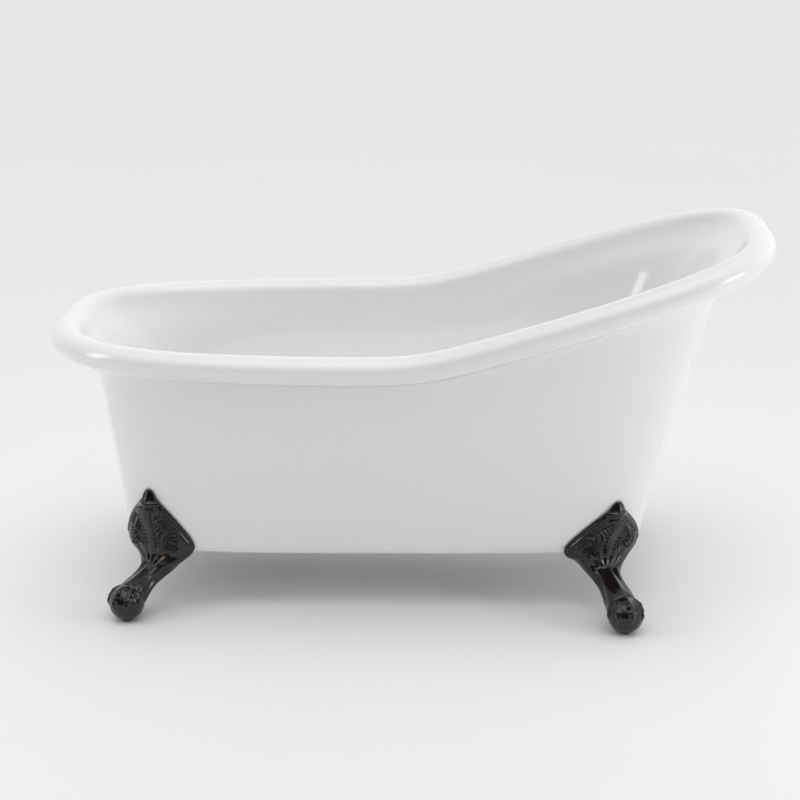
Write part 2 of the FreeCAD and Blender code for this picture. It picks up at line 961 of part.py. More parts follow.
def toe(ball, wrist, aside):
    """One clawed toe laid over the ball: a bent round bar, two knuckles and a nail.

    wrist points from the ball's middle to where the leg meets it, aside square to that.
    """
    bend = size["ball_radius"] + size["toe_stand"]

    def along(angle):
        turn = math.radians(angle)
        return wrist * math.cos(turn) + aside * math.sin(turn)

    start, end = size["toe_start"], size["toe_end"]
    radius = size["toe_radius"]
    bar = Part.makeTorus(bend, radius, Vector(), Vector(0, 0, 1), -180, 180, end - start)
    bar.Placement = Placement(
        ball, Rotation(along(start), along(start + 90), along(start).cross(along(start + 90)), "ZXY")
    )
    nail_root = ball + along(end) * bend
    nail = Part.makeCone(
        radius - 1,
        size["nail_tip_radius"],
        size["nail_length"],
        nail_root,
        along(end + 90) - along(end) * size["nail_hook"],
    )
    return [
        bar,
        nail,
        Part.makeSphere(radius, nail_root),
        Part.makeSphere(radius + 1.5, ball + along(start) * bend),
        Part.makeSphere(radius + 2, ball + along(blend(start, end, 0.5)) * bend),
    ]


def lug_plate(knee, bar_x):
    """Flat lug under the base, from the inner bolt out to the leg."""
    half = size["lug_half_width"]
    side = Vector(knee.y, -knee.x, 0).normalize() * half
    inner = half - number(bolt_at["inner"])
    shoulder = -number(bolt_at["outer"]) - half / 2
    low = size["skirt_base_height"] - size["seat_gap"] - size["lug_thickness"]
    outer = sorted((knee + side, knee - side), key=lambda spot: spot.x)
    corners = [
        Vector(bar_x - half, inner, 0),
        Vector(bar_x - half, shoulder, 0),
        outer[0],
        outer[1],
        Vector(bar_x + half, shoulder, 0),
        Vector(bar_x + half, inner, 0),
    ]
    corners = [Vector(spot.x, spot.y, low) for spot in corners]
    face = Part.Face(Part.makePolygon(corners + corners[:1]))
    return face.extrude(Vector(0, 0, size["lug_thickness"]))


def foot_blank(end):
    """The camera-side foot of one end, before its holes: shield, leg, ball, claws and lug."""
    bearing, ball = foot_bearings[end], ball_places[end]
    knee = skirt_wall_point(bearing, size["skirt_base_height"])
    leg = Vector(ball.x - knee.x, ball.y - knee.y, 0).normalize()
    side = Vector(-leg.y, leg.x, 0)
    rise = math.radians(size["wrist_elevation"])
    wrist = leg * -math.cos(rise) + Vector(0, 0, math.sin(rise))
    crown = leg * math.sin(rise) + Vector(0, 0, math.cos(rise))
    claw = Part.makeSphere(size["ball_radius"], ball, wrist)
    for turn in toe_turns:
        angle = math.radians(turn)
        claw = claw.fuse(toe(ball, wrist, crown * math.cos(angle) + side * math.sin(angle)))
    shield = casting_skin(bearing, ball, size[end + "_shield_height"])
    casting = shield.fuse(lug_plate(knee, number(bar_at[end])))
    return casting.fuse(claw)


def foot_cuts(label, end, sign):
    """Holes of one foot: two for its bolts, the glide's pocket and the glide's bore."""
    spot = ball_places[end]
    cuts = []
    for row in ("inner", "outer"):
        rod = primitive(
            "Cylinder", f"{label}_{row}", Radius="bolt_hole_radius", Height="3 * lug_thickness"
        )
        cuts.append(
            moved(
                rod,
                bar_at[end],
                f"{sign} * {bolt_at[row]}",
                "skirt_base_height - 2 * lug_thickness",
            )
        )
    pocket = primitive(
        "Cylinder",
        label + "_pocket",
        Radius="glide_radius + glide_pocket_gap",
        Height="2 * glide_thickness + glide_pocket_gap",
    )
    bore = primitive(
        "Cylinder",
        label + "_bore",
        Radius="glide_stud_radius + running_gap",
        Height="glide_bore_depth",
    )
    x, y = ball_at[end]
    cuts.append(moved(pocket, x, f"{sign} * {y}", "-glide_thickness"))
    cuts.append(moved(bore, x, f"{sign} * {y}", "0"))
    return fused(label + "_cuts", cuts)


ball_at = {
    "drain": (f"{base_drain} + drain_ball_inset", f"({base_side} + drain_ball_spread)"),
    "head": (f"{base_head} - head_ball_inset", f"({base_side} + head_ball_spread)"),
}
ball_places = {
    end: Vector(number(x), -number(y), size["ball_centre_height"]) for end, (x, y) in ball_at.items()
}
foot_bearings = {
    "drain": math.radians(180 + size["drain_foot_bearing"]),
    "head": math.radians(360 - size["head_foot_bearing"]),
}
toe_turns = (-75, -25, 25, 75)

for end in ("drain", "head"):
    blank = foot_blank(end)
    for side, sign in (("front", -1), ("back", 1)):
        label = f"foot_{end}_{side}"
        shape = blank if sign < 0 else blank.mirror(Vector(), Vector(0, 1, 0))
        keep(cut(label, shaped(label + "_blank", shape), foot_cuts(label, end, sign)))

for end in ("drain", "head"):
    for side, sign in (("front", -1), ("back", 1)):
        spot = Placement(Vector(ball_places[end].x, -sign * ball_places[end].y, 0), Rotation())
        stud_top = "glide_thickness + glide_stud_length"
        head_low = "glide_thickness - glide_head_thickness"
        keep(
            turned(
                f"glide_stud_{end}_{side}",
                [
                    ("0", head_low),
                    ("glide_head_radius", head_low),
                    ("glide_head_radius", "glide_thickness"),
                    ("glide_stud_radius", "glide_thickness"),
                    ("glide_stud_radius", stud_top + " - 1"),
                    ("glide_stud_radius - 1", stud_top),
                    ("0", stud_top),
                ],
                spot,
            )
        )
        recess = "glide_head_radius + running_gap"
        recess_low = head_low + " - running_gap"
        keep(
            turned(
                f"glide_pad_{end}_{side}",
                [
                    ("0", "0"),
                    ("glide_radius - 1", "0"),
                    ("glide_radius", "1"),
                    ("glide_radius", "glide_thickness"),
                    (recess, "glide_thickness"),
                    (recess, recess_low),
                    ("0", recess_low),
                ],
                spot,
            )
        )


# ---------------------------------------------------------------- foot fixings

lug_bottom = "skirt_base_height - seat_gap - lug_thickness"
washer_bottom = lug_bottom + " - washer_thickness - washer_gap"
head_bottom = washer_bottom + " - washer_gap - bolt_head_height"
nut_bottom = bar_top + " + washer_gap"
bolt_top = nut_bottom + " + nut_height + bolt_end"


def hexagon(label, across, height):
    return primitive(
        "Prism", label, Circumradius=f"{across} / sqrt(3)", Height=height
    )


bolts, washers, nuts = [], [], []
for i, (x, y) in enumerate(bolt_rows):
    shank = primitive(
        "Cylinder",
        f"bolt_shank_{i}",
        Radius="bolt_radius",
        Height=f"{bolt_top} - ({head_bottom}) - bolt_head_height / 2",
    )
    head = hexagon(f"bolt_head_{i}", "bolt_head_across", "bolt_head_height")
    bolts.append(
        fused(
            f"bolt_{i}",
            [
                moved(shank, x, y, head_bottom + " + bolt_head_height / 2"),
                moved(head, x, y, head_bottom),
            ],
        )
    )
    for kind, group, outside, low, height in (
        ("washer", washers, None, washer_bottom, "washer_thickness"),
        ("nut", nuts, "bolt_head_across", nut_bottom, "nut_height"),
    ):
        if outside:
            blank = hexagon(f"{kind}_blank_{i}", outside, height)
        else:
            blank = primitive("Cylinder", f"{kind}_blank_{i}", Radius="washer_radius", Height=height)
        hole = primitive(
            "Cylinder",
            f"{kind}_hole_{i}",
            Radius="bolt_radius + thread_gap",
            Height=f"3 * {height}",
        )
        group.append(
            cut(
                f"{kind}_{i}",
                moved(blank, x, y, low),
                moved(hole, x, y, f"{low} - {height}"),
            )
        )
keep(grouped("foot_bolts", bolts))
keep(grouped("foot_washers", washers))
keep(grouped("crossbar_nuts", nuts))


# ---------------------------------------------------------------- waste

# Heights in this section are measured from the bath floor's upper face, at the waste.
plate_low = "waste_gasket_thickness"
plate_high = "waste_gasket_thickness + waste_flange_thickness"
mouth_floor = f"{plate_high} - waste_mouth_depth"
sleeve_low = "-waste_sleeve_depth"
keep(
    turned(
        "waste_gasket_upper",
        ring_corners(
            "waste_sleeve_radius + bond_gap",
            "waste_flange_radius - bond_gap",
            "washer_gap",
            f"{plate_low} - washer_gap",
        ),
        waste_place,
    )
)
flange_ring = turned(
    "waste_flange_ring",
    [
        ("waste_sleeve_bore", sleeve_low),
        ("waste_sleeve_radius", sleeve_low),
        ("waste_sleeve_radius", plate_low),
        ("waste_flange_radius", plate_low),
        ("waste_flange_radius", f"{plate_high} - 2"),
        ("waste_flange_radius - 2.5", plate_high),
        ("waste_mouth_radius", plate_high),
        ("waste_mouth_radius - 1", mouth_floor),
        ("waste_sleeve_bore", mouth_floor),
    ],
    waste_place,
)
hub = turned(
    "waste_hub",
    ring_corners(
        "stem_radius + running_gap", "hub_radius", sleeve_low, f"{sleeve_low} + hub_height"
    ),
    waste_place,
)
spokes = []
for i in range(3):
    spoke = primitive(
        "Box",
        f"waste_spoke_{i}",
        Length="(waste_sleeve_bore + waste_sleeve_radius) / 2 - hub_radius + 1",
        Width="spoke_width",
        Height="hub_height / 2",
    )
    spoke.Placement = (
        waste_place
        * Placement(Vector(), Rotation(Vector(0, 0, 1), 60 + 120 * i))
        * Placement(
            Vector(
                size["hub_radius"] - 1, -size["spoke_width"] / 2, -size["waste_sleeve_depth"]
            ),
            Rotation(),
        )
    )
    spokes.append(spoke)
keep(fused("waste_flange", [flange_ring, hub] + spokes))

cup_top = "-basin_wall - waste_gasket_thickness"
keep(
    turned(
        "waste_gasket_lower",
        ring_corners(
            "waste_sleeve_radius + bond_gap",
            "waste_cup_radius - bond_gap",
            f"{cup_top} + washer_gap",
            "-basin_wall - washer_gap",
        ),
        waste_place,
    )
)
cup_bottom = f"{cup_top} - waste_cup_depth"
tail_bottom = f"{cup_bottom} - waste_tail_length"
cup_inside = "waste_cup_radius - waste_cup_wall"
cup = turned(
    "waste_cup",
    [
        ("waste_sleeve_radius + thread_gap", cup_top),
        ("waste_sleeve_radius + thread_gap", f"{cup_top} - waste_neck_height"),
        (cup_inside, f"{cup_top} - waste_neck_height - 3"),
        (cup_inside, f"{cup_bottom} + waste_cup_wall"),
        ("waste_tail_bore", f"{cup_bottom} + waste_cup_wall"),
        ("waste_tail_bore", tail_bottom),
        ("waste_tail_radius", tail_bottom),
        ("waste_tail_radius", cup_bottom),
        ("waste_cup_radius", cup_bottom),
        ("waste_cup_radius", cup_top),
    ],
    waste_place,
)


def lying(place, x, y, z, direction):
    """A place whose Z axis points in the direction given, set off from another place."""
    return place * Placement(Vector(x, y, z), Rotation(Vector(0, 0, 1), direction))


pipe_level = number(f"{bar_top} + pipe_bar_gap + pipe_radius")
pipe_drop = pipe_level - waste_place.Base.z
drainward = Vector(-1, 0, 0)
inlet_root = lying(waste_place, 0, 0, pipe_drop, drainward)
inlet_length = "waste_cup_radius + waste_inlet_length"
cable_root = lying(waste_place, 0, size["cable_offset"], pipe_drop, drainward)
cable_boss_end = "waste_cup_radius + cable_boss_length / 2"
stem_bottom = "-stem_length"
rocker_height = number(f"{stem_bottom} - rocker_gap - rocker_thickness / 2")
pin_left = lying(
    waste_place, size["rocker_arm"], size["ear_reach"], rocker_height, Vector(0, -1, 0)
)


def ear(label, sign):
    start = size["ear_gap"] if sign > 0 else -size["ear_reach"]
    return rod_from(
        label,
        "rocker_boss_radius",
        "0",
        "ear_reach - ear_gap",
        lying(waste_place, size["rocker_arm"], start, rocker_height, Vector(0, 1, 0)),
    )


waste_solid = fused(
    "waste_body_solid",
    [
        cup,
        ear("waste_ear_front", -1),
        ear("waste_ear_back", 1),
        cut(
            "waste_inlet_outside",
            rod_from("waste_inlet_rod", "waste_inlet_radius", "0", inlet_length, inlet_root),
            rod_from(
                "waste_inlet_core", f"{cup_inside} + 1", "-waste_cup_depth", "2 * waste_cup_depth",
                waste_place,
            ),
        ),
        cut(
            "waste_cable_boss",
            rod_from("waste_boss_rod", "cable_boss_radius", "0", cable_boss_end, cable_root),
            rod_from(
                "waste_boss_core", f"{cup_inside} + 1", "-waste_cup_depth", "2 * waste_cup_depth",
                waste_place,
            ),
        ),
    ],
)
keep(
    cut(
        "waste_body",
        waste_solid,
        fused(
            "waste_body_bores",
            [
                rod_from(
                    "waste_inlet_bore", "pipe_radius + pipe_fit_gap", f"{cup_inside} - 4",
                    "2 * waste_inlet_length", inlet_root,
                ),
                rod_from(
                    "waste_boss_bore", "cable_radius + pipe_fit_gap",
                    f"{cable_boss_end} - cable_socket", "2 * cable_socket", cable_root,
                ),
                rod_from(
                    "waste_pin_bore", "rocker_pin_radius + running_gap", "ear_pin_inset",
                    "2 * ear_reach - 2 * ear_pin_inset", pin_left,
                ),
            ],
        ),
    )
)

lip_low = f"{mouth_floor} + plug_rest_gap + plug_seal_thickness"
keep(
    turned(
        "plug",
        [
            ("0", "-plug_depth"),
            ("plug_seat_radius - 1", "-plug_depth"),
            ("plug_seat_radius", "1 - plug_depth"),
            ("plug_seat_radius", lip_low),
            ("plug_radius", lip_low),
            ("plug_radius", f"{lip_low} + 1.5"),
            ("plug_radius - 1.5", f"{lip_low} + 2.6"),
            ("0.55 * plug_radius", f"{lip_low} + 4.4"),
            ("0.2 * plug_radius", f"{lip_low} + 5"),
            ("0", f"{lip_low} + 5"),
        ],
        waste_place,
    )
)
keep(
    turned(
        "plug_seal",
        ring_corners(
            "plug_seat_radius + running_gap",
            "plug_seal_radius",
            f"{mouth_floor} + plug_rest_gap",
            f"{lip_low} - running_gap",
        ),
        waste_place,
    )
)
keep(
    turned(
        "plug_stem",
        [
            ("0", stem_bottom),
            ("stem_radius - 1", stem_bottom),
            ("stem_radius", f"{stem_bottom} + 1"),
            ("stem_radius", "-plug_depth - running_gap"),
            ("0", "-plug_depth - running_gap"),
        ],
        waste_place,
    )
)
rocker_end = lying(
    waste_place, size["rocker_arm"], -size["rocker_width"] / 2, rocker_height, Vector(0, 1, 0)
)
rocker_tip = lying(
    waste_place, 0, -size["rocker_width"] / 2, rocker_height, Vector(0, 1, 0)
)
arm = primitive(
    "Box", "rocker_bar", Length="rocker_arm", Width="rocker_width", Height="rocker_thickness"
)
arm.Placement = waste_place * Placement(
    Vector(0, -size["rocker_width"] / 2, rocker_height - size["rocker_thickness"] / 2), Rotation()
)
keep(
    cut(
        "lift_rocker",
        fused(
            "rocker_solid",
            [
                arm,
                rod_from("rocker_boss", "rocker_boss_radius", "0", "rocker_width", rocker_end),
                rod_from("rocker_nose", "rocker_thickness / 2", "0", "rocker_width", rocker_tip),
            ],
        ),
        rod_from(
            "rocker_bore", "rocker_pin_radius + running_gap", "-rocker_width",
            "3 * rocker_width", rocker_end,
        ),
    )
)
keep(
    rod_from(
        "rocker_pin", "rocker_pin_radius", "ear_pin_inset + running_gap",
        "2 * ear_reach - 2 * ear_pin_inset - 2 * running_gap", pin_left,
    )
)


# ---------------------------------------------------------------- overflow

# Distances in this section are measured from the drain end's seen face, square to it.
wall_back = "-basin_wall - overflow_wall_gap"
body_front = f"{wall_back} - overflow_gasket_thickness"
body_back = f"{body_front} - overflow_cup_depth"
keep(
    turned(
        "overflow_gasket",
        ring_corners(
            "overflow_sleeve_radius + bond_gap",
            "overflow_cup_radius - bond_gap",
            f"{body_front} + washer_gap",
            f"{wall_back} - washer_gap",
        ),
        overflow_place,
    )
)
plate_back = "overflow_wall_gap"
plate_front = "overflow_wall_gap + overflow_flange_thickness"
sleeve_back = f"{body_front} - overflow_neck_height"
faceplate_ring = turned(
    "overflow_faceplate_ring",
    [
        ("overflow_sleeve_bore", sleeve_back),
        ("overflow_sleeve_radius", sleeve_back),
        ("overflow_sleeve_radius", plate_back),
        ("overflow_flange_radius", plate_back),
        ("overflow_flange_radius", f"{plate_front} - 1.5"),
        ("overflow_flange_radius - 1.5", plate_front),
        ("overflow_sleeve_bore", plate_front),
    ],
    overflow_place,
)
faceplate_hub = turned(
    "overflow_hub",
    ring_corners(
        "knob_shaft_radius + running_gap", "hub_radius", f"{plate_front} - hub_height", plate_front
    ),
    overflow_place,
)
faceplate_spokes = []
for i in range(3):
    spoke = primitive(
        "Box",
        f"overflow_spoke_{i}",
        Length="(overflow_sleeve_bore + overflow_sleeve_radius) / 2 - hub_radius + 1",
        Width="spoke_width",
        Height="hub_height / 2",
    )
    spoke.Placement = (
        overflow_place
        * Placement(Vector(), Rotation(Vector(0, 0, 1), 60 + 120 * i))
        * Placement(
            Vector(
                size["hub_radius"] - 1,
                -size["spoke_width"] / 2,
                number(f"{plate_front} - hub_height"),
            ),
            Rotation(),
        )
    )
    faceplate_spokes.append(spoke)
keep(fused("overflow_faceplate", [faceplate_ring, faceplate_hub] + faceplate_spokes))

knob_low = f"{plate_front} + knob_gap"
keep(
    turned(
        "overflow_knob",
        [
            ("0", f"{plate_front} - knob_shaft_length"),
            ("knob_shaft_radius", f"{plate_front} - knob_shaft_length"),
            ("knob_shaft_radius", knob_low),
            ("knob_radius - 3", knob_low),
            ("knob_radius", f"{knob_low} + 3"),
            ("knob_radius", f"{knob_low} + knob_thickness - 3"),
            ("knob_radius - 3", f"{knob_low} + knob_thickness"),
            ("0", f"{knob_low} + knob_thickness"),
        ],
        overflow_place,
    )
)

# the pipe leaves the overflow parallel to the skirt's end, then turns level to the waste
skirt_low, skirt_high = skirt_base(math.pi, 0), skirt_top(math.pi, 0)
pipe_down = (skirt_low - skirt_high).normalize()
pipe_root = overflow_place.multVec(
    Vector(0, 0, number(f"{body_front} - overflow_cup_depth / 2"))
)
outlet_place = Placement(pipe_root, Rotation(Vector(0, 0, 1), pipe_down))
outlet_end = "overflow_cup_radius + overflow_outlet_length"
boss_place = Placement(
    pipe_root + Vector(0, size["cable_offset"], 0), Rotation(Vector(0, 0, 1), pipe_down)
)
boss_end = "overflow_cup_radius + cable_boss_length / 2"
overflow_solid = fused(
    "overflow_body_solid",
    [
        rod_from(
            "overflow_cup", "overflow_cup_radius", body_back, "overflow_cup_depth", overflow_place
        ),
        rod_from("overflow_outlet", "waste_inlet_radius", "0", outlet_end, outlet_place),
        rod_from("overflow_cable_boss", "cable_boss_radius", "0", boss_end, boss_place),
    ],
)
keep(
    cut(
        "overflow_body",
        overflow_solid,
        fused(
            "overflow_body_bores",
            [
                rod_from(
                    "overflow_neck_bore", "overflow_sleeve_radius + thread_gap", sleeve_back,
                    "2 * overflow_neck_height", overflow_place,
                ),
                rod_from(
                    "overflow_cavity", "overflow_cup_radius - overflow_cup_wall",
                    f"{body_back} + overflow_cup_wall",
                    "overflow_cup_depth - overflow_cup_wall - overflow_neck_height",
                    overflow_place,
                ),
                rod_from(
                    "overflow_outlet_bore", "pipe_radius + pipe_fit_gap", "overflow_cup_radius / 2",
                    "2 * overflow_cup_radius", outlet_place,
                ),
                rod_from(
                    "overflow_boss_bore", "cable_radius + pipe_fit_gap",
                    f"{boss_end} - cable_socket", "2 * cable_socket", boss_place,
                ),
            ],
        ),
    )
)


def run_down(start, end_x, bend):
    """A run from the start down the cavity, round one bend and level to the end's X."""
    corner = start + pipe_down * ((start.z - pipe_level) / -pipe_down.z)
    level = Vector(1, 0, 0)
    back_off = bend * math.tan(pipe_down.getAngle(level) / 2)
    first, last = corner - pipe_down * back_off, corner + level * back_off
    inside = (level - pipe_down).normalize()
    centre = corner + inside * math.hypot(bend, back_off)
    middle = centre - inside * bend
    return Part.Wire(
        [
            Part.LineSegment(start, first).toShape(),
            Part.Arc(first, middle, last).toShape(),
            Part.LineSegment(last, Vector(end_x, start.y, corner.z)).toShape(),
        ]
    )


def tube_along(label, start, end_x, radius, bore=None):
    """A round tube or cord swept along a run, as a feature on a drawn path."""
    path = doc.addObject("Part::Feature", label + "_path")
    wire = run_down(start, end_x, size["pipe_bend"])
    path.Shape = wire
    ring = doc.addObject("Part::Circle", label + "_ring")
    ring.setExpression("Radius", bound(radius))
    ring.Placement = Placement(start, Rotation(Vector(0, 0, 1), pipe_down))
    sweep = doc.addObject("Part::Sweep", label + "_outside" if bore else label)
    sweep.Sections = [ring]
    sweep.Spine = (path, [f"Edge{i}" for i in (1, 2, 3)])
    sweep.Solid = True
    sweep.Frenet = False
    if not bore:
        sweep.Label = label
        return sweep
    core_ring = doc.addObject("Part::Circle", label + "_core_ring")
    core_ring.setExpression("Radius", bound(bore))
    core_ring.Placement = ring.Placement
    core = doc.addObject("Part::Sweep", label + "_core")
    core.Sections = [core_ring]
    core.Spine = (path, [f"Edge{i}" for i in (1, 2, 3)])
    core.Solid = True
    return cut(label, sweep, core)


pipe_start = outlet_place.multVec(Vector(0, 0, number(f"{outlet_end} - pipe_socket")))
pipe_end_x = number(f"{waste_x} - ({inlet_length} - pipe_socket)")
keep(tube_along("overflow_pipe", pipe_start, pipe_end_x, "pipe_radius", "pipe_bore"))
cable_start = boss_place.multVec(Vector(0, 0, number(f"{boss_end} - cable_socket + pipe_fit_gap")))
cable_end_x = number(f"{waste_x} - ({cable_boss_end} - cable_socket + pipe_fit_gap)")
keep(tube_along("bowden_cable", cable_start, cable_end_x, "cable_radius"))


def slip_nut(label, place):
    """Nut that holds the pipe in its socket; its place's Z axis points along the pipe."""
    nut_bore, nut_throat = "pipe_radius + pipe_fit_gap", "waste_inlet_radius + pipe_fit_gap"
    return turned(
        label,
        [
            (nut_throat, "-slip_nut_lap"),
            ("slip_nut_radius", "-slip_nut_lap"),
            ("slip_nut_radius", "slip_nut_length - slip_nut_lap"),
            (nut_bore, "slip_nut_length - slip_nut_lap"),
            (nut_bore, "pipe_fit_gap"),
            (nut_throat, "pipe_fit_gap"),
        ],
        place,
    )


keep(
    slip_nut(
        "pipe_nut_upper",
        outlet_place * Placement(Vector(0, 0, number(outlet_end)), Rotation()),
    )
)
keep(
    slip_nut(
        "pipe_nut_lower",
        inlet_root * Placement(Vector(0, 0, number(inlet_length)), Rotation()),
    )
)

doc.recompute()


# ---------------------------------------------------------------- check and write

for item in doc.Objects:
    if any(word in item.State for word in ("Invalid", "Error")):
        raise RuntimeError(f"{item.Label} did not build: {item.State}")
for piece in pieces:
    if piece.Shape.isNull() or not piece.Shape.isValid():
        raise RuntimeError(f"{piece.Label} has no valid shape")

os.makedirs("parts", exist_ok=True)
for piece in pieces:
    piece.Shape.exportStep(f"parts/{piece.Label}.step")
    print(f"{piece.Label}: {len(piece.Shape.Solids)} solid(s), {piece.Shape.Volume / 1000:.1f} cm3")
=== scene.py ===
import json
import math

import bmesh
import bpy
from mathutils import Matrix, Vector
from mathutils.kdtree import KDTree


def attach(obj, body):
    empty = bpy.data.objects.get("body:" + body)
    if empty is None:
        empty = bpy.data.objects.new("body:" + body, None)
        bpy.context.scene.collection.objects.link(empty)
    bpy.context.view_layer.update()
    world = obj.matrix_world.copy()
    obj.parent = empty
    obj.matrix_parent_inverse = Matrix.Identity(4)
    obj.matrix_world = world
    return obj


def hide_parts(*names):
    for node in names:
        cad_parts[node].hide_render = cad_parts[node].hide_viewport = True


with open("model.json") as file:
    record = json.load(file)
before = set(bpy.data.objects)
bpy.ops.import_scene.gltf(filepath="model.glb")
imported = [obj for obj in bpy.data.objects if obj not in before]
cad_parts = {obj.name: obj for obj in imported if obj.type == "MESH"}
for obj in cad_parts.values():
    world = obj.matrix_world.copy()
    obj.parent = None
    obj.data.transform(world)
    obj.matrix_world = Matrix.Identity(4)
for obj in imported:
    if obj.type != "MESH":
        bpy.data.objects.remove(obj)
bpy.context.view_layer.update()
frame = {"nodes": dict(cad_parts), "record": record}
print("stage: frame loaded")

mm = 0.001
scene = bpy.context.scene


# camera: three degrees round from square on, a little above the rim
camera = {
    "turn": 3.0,
    "rise": 17.582,
    "distance": 4300,
    "target": (-24.83, 0, 406.54),
    "focal": 87.32,
    "roll": -0.392,
    "sensor": 36,
    "clipEnd": 60,
}


def placeCamera():
    turn, rise, roll = (math.radians(camera[key]) for key in ("turn", "rise", "roll"))
    back = Vector((
        math.sin(turn) * math.cos(rise), -math.cos(turn) * math.cos(rise), math.sin(rise)
    ))
    right = (-back).cross(Vector((0, 0, 1))).normalized()
    up = right.cross(-back)
    rolledRight = right * math.cos(roll) + up * math.sin(roll)
    rolledUp = up * math.cos(roll) - right * math.sin(roll)
    data = bpy.data.cameras.new("bathCamera")
    data.lens = camera["focal"]
    data.sensor_width = camera["sensor"]
    data.clip_end = camera["clipEnd"]
    made = bpy.data.objects.new("bathCamera", data)
    scene.collection.objects.link(made)
    seat = (Vector(camera["target"]) + back * camera["distance"]) * mm
    turned = Matrix((rolledRight, rolledUp, back)).transposed().to_4x4()
    made.matrix_world = Matrix.Translation(seat) @ turned
    scene.camera = made


placeCamera()


# shader maths as expressions
class Wire:
    def __init__(self, tree, socket):
        self.tree = tree
        self.socket = socket

    def maths(self, operation, *values, clamp=False):
        node = self.tree.nodes.new("ShaderNodeMath")
        node.operation = operation
        node.use_clamp = clamp
        for slot, value in zip(node.inputs, values):
            feed(self.tree, slot, value)
        return Wire(self.tree, node.outputs[0])

    def __add__(self, other):
        return self.maths("ADD", self, other)

    def __radd__(self, other):
        return self.maths("ADD", other, self)

    def __sub__(self, other):
        return self.maths("SUBTRACT", self, other)

    def __rsub__(self, other):
        return self.maths("SUBTRACT", other, self)

    def __mul__(self, other):
        return self.maths("MULTIPLY", self, other)

    def __rmul__(self, other):
        return self.maths("MULTIPLY", other, self)

    def __pow__(self, other):
        return self.maths("POWER", self, other)

    def clamped(self):
        return self.maths("ADD", self, 0, clamp=True)

    def atLeast(self, floor):
        return self.maths("MAXIMUM", self, floor)


def feed(tree, slot, value):
    if isinstance(value, Wire):
        tree.links.new(value.socket, slot)
    else:
        slot.default_value = value


class Finish:
    # one material: its nodes are added with add(), its shader's own numbers with set()
    def __init__(self, name, **constants):
        self.material = bpy.data.materials.new(name)
        self.material.use_nodes = True
        self.tree = self.material.node_tree
        self.shader = self.tree.nodes["Principled BSDF"]
        self.set(**constants)
        self.place = self.add("ShaderNodeTexCoord", out="Object")

    def set(self, **constants):
        for key, value in constants.items():
            feed(self.tree, self.shader.inputs[key.replace("_", " ")], value)

    def add(self, kind, settings=None, out=0, **sockets):
        node = self.tree.nodes.new(kind)
        for key, value in (settings or {}).items():
            setattr(node, key, value)
        for key, value in sockets.items():
            feed(self.tree, node.inputs[key.replace("_", " ")], value)
        return Wire(self.tree, node.outputs[out])

    def noise(self, scale, detail=3, roughness=0.5, at=None):
        return self.add(
            "ShaderNodeTexNoise", None, "Fac", Vector=at or self.place, Scale=scale, Detail=detail,
            Roughness=roughness,
        )

    def ramp(self, value, low, high, to=(0, 1)):
        return self.add(
            "ShaderNodeMapRange", {"clamp": True}, 0, Value=value, From_Min=low, From_Max=high,
            To_Min=to[0], To_Max=to[1],
        )

    def mix(self, share, first, second):
        node = self.tree.nodes.new("ShaderNodeMix")
        node.data_type = "RGBA"
        feed(self.tree, node.inputs[0], share)
        feed(self.tree, node.inputs[6], first)
        feed(self.tree, node.inputs[7], second)
        return Wire(self.tree, node.outputs[2])

    def bump(self, height, strength, distance):
        return self.add(
            "ShaderNodeBump", None, 0, Height=height, Strength=strength, Distance=distance
        )


def whiteGelcoat():
    finish = Finish("whiteGelcoat", Coat_Weight=0.5, Coat_Roughness=0.05, Coat_IOR=1.5, IOR=1.5)
    cloud = finish.noise(2.2, 2, 0.5)
    finish.set(
        Base_Color=finish.mix(cloud, (0.915, 0.915, 0.915, 1), (0.94, 0.94, 0.937, 1)),
        Roughness=finish.ramp(finish.noise(9, 3), 0.3, 0.7, (0.15, 0.2)),
        Normal=finish.bump(finish.noise(8, 2), 0.006, 0.002),
    )
    return finish.material


def darkBronze():
    # black-brown lacquer over a cast face, a little thinner here and there
    finish = Finish("darkBronze", IOR=1.5, Coat_Roughness=0.06, Coat_IOR=1.45)
    grain = finish.noise(420, 4, 0.6)
    cloud = finish.noise(22, 3)
    thin = finish.ramp(cloud, 0.45, 0.75)
    finish.set(
        Base_Color=finish.mix(thin, (0.009, 0.007, 0.006, 1), (0.026, 0.02, 0.016, 1)),
        Metallic=thin * 0.3,
        Roughness=finish.ramp(finish.noise(70, 3), 0.3, 0.7, (0.13, 0.22)),
        Coat_Weight=0.15 - thin * 0.1,
        Normal=finish.bump(grain + finish.noise(90, 3) * 2, 0.1, 0.0004),
    )
    return finish.material


def sealedBoard():
    finish = Finish("sealedBoard", IOR=1.45)
    along = finish.add(
        "ShaderNodeMapping", None, 0, Vector=finish.place, Scale=(3, 40, 40)
    )
    grain = finish.noise(4, 6, 0.6, at=along)
    speck = finish.noise(180, 3, 0.6)
    shade = finish.mix(grain, (0.36, 0.24, 0.13, 1), (0.58, 0.43, 0.27, 1))
    finish.set(
        Base_Color=finish.mix(speck * 0.4, shade, (0.66, 0.52, 0.36, 1)),
        Roughness=finish.ramp(grain, 0.3, 0.7, (0.5, 0.72)),
        Normal=finish.bump(grain + speck * 0.5, 0.25, 0.0008),
    )
    return finish.material


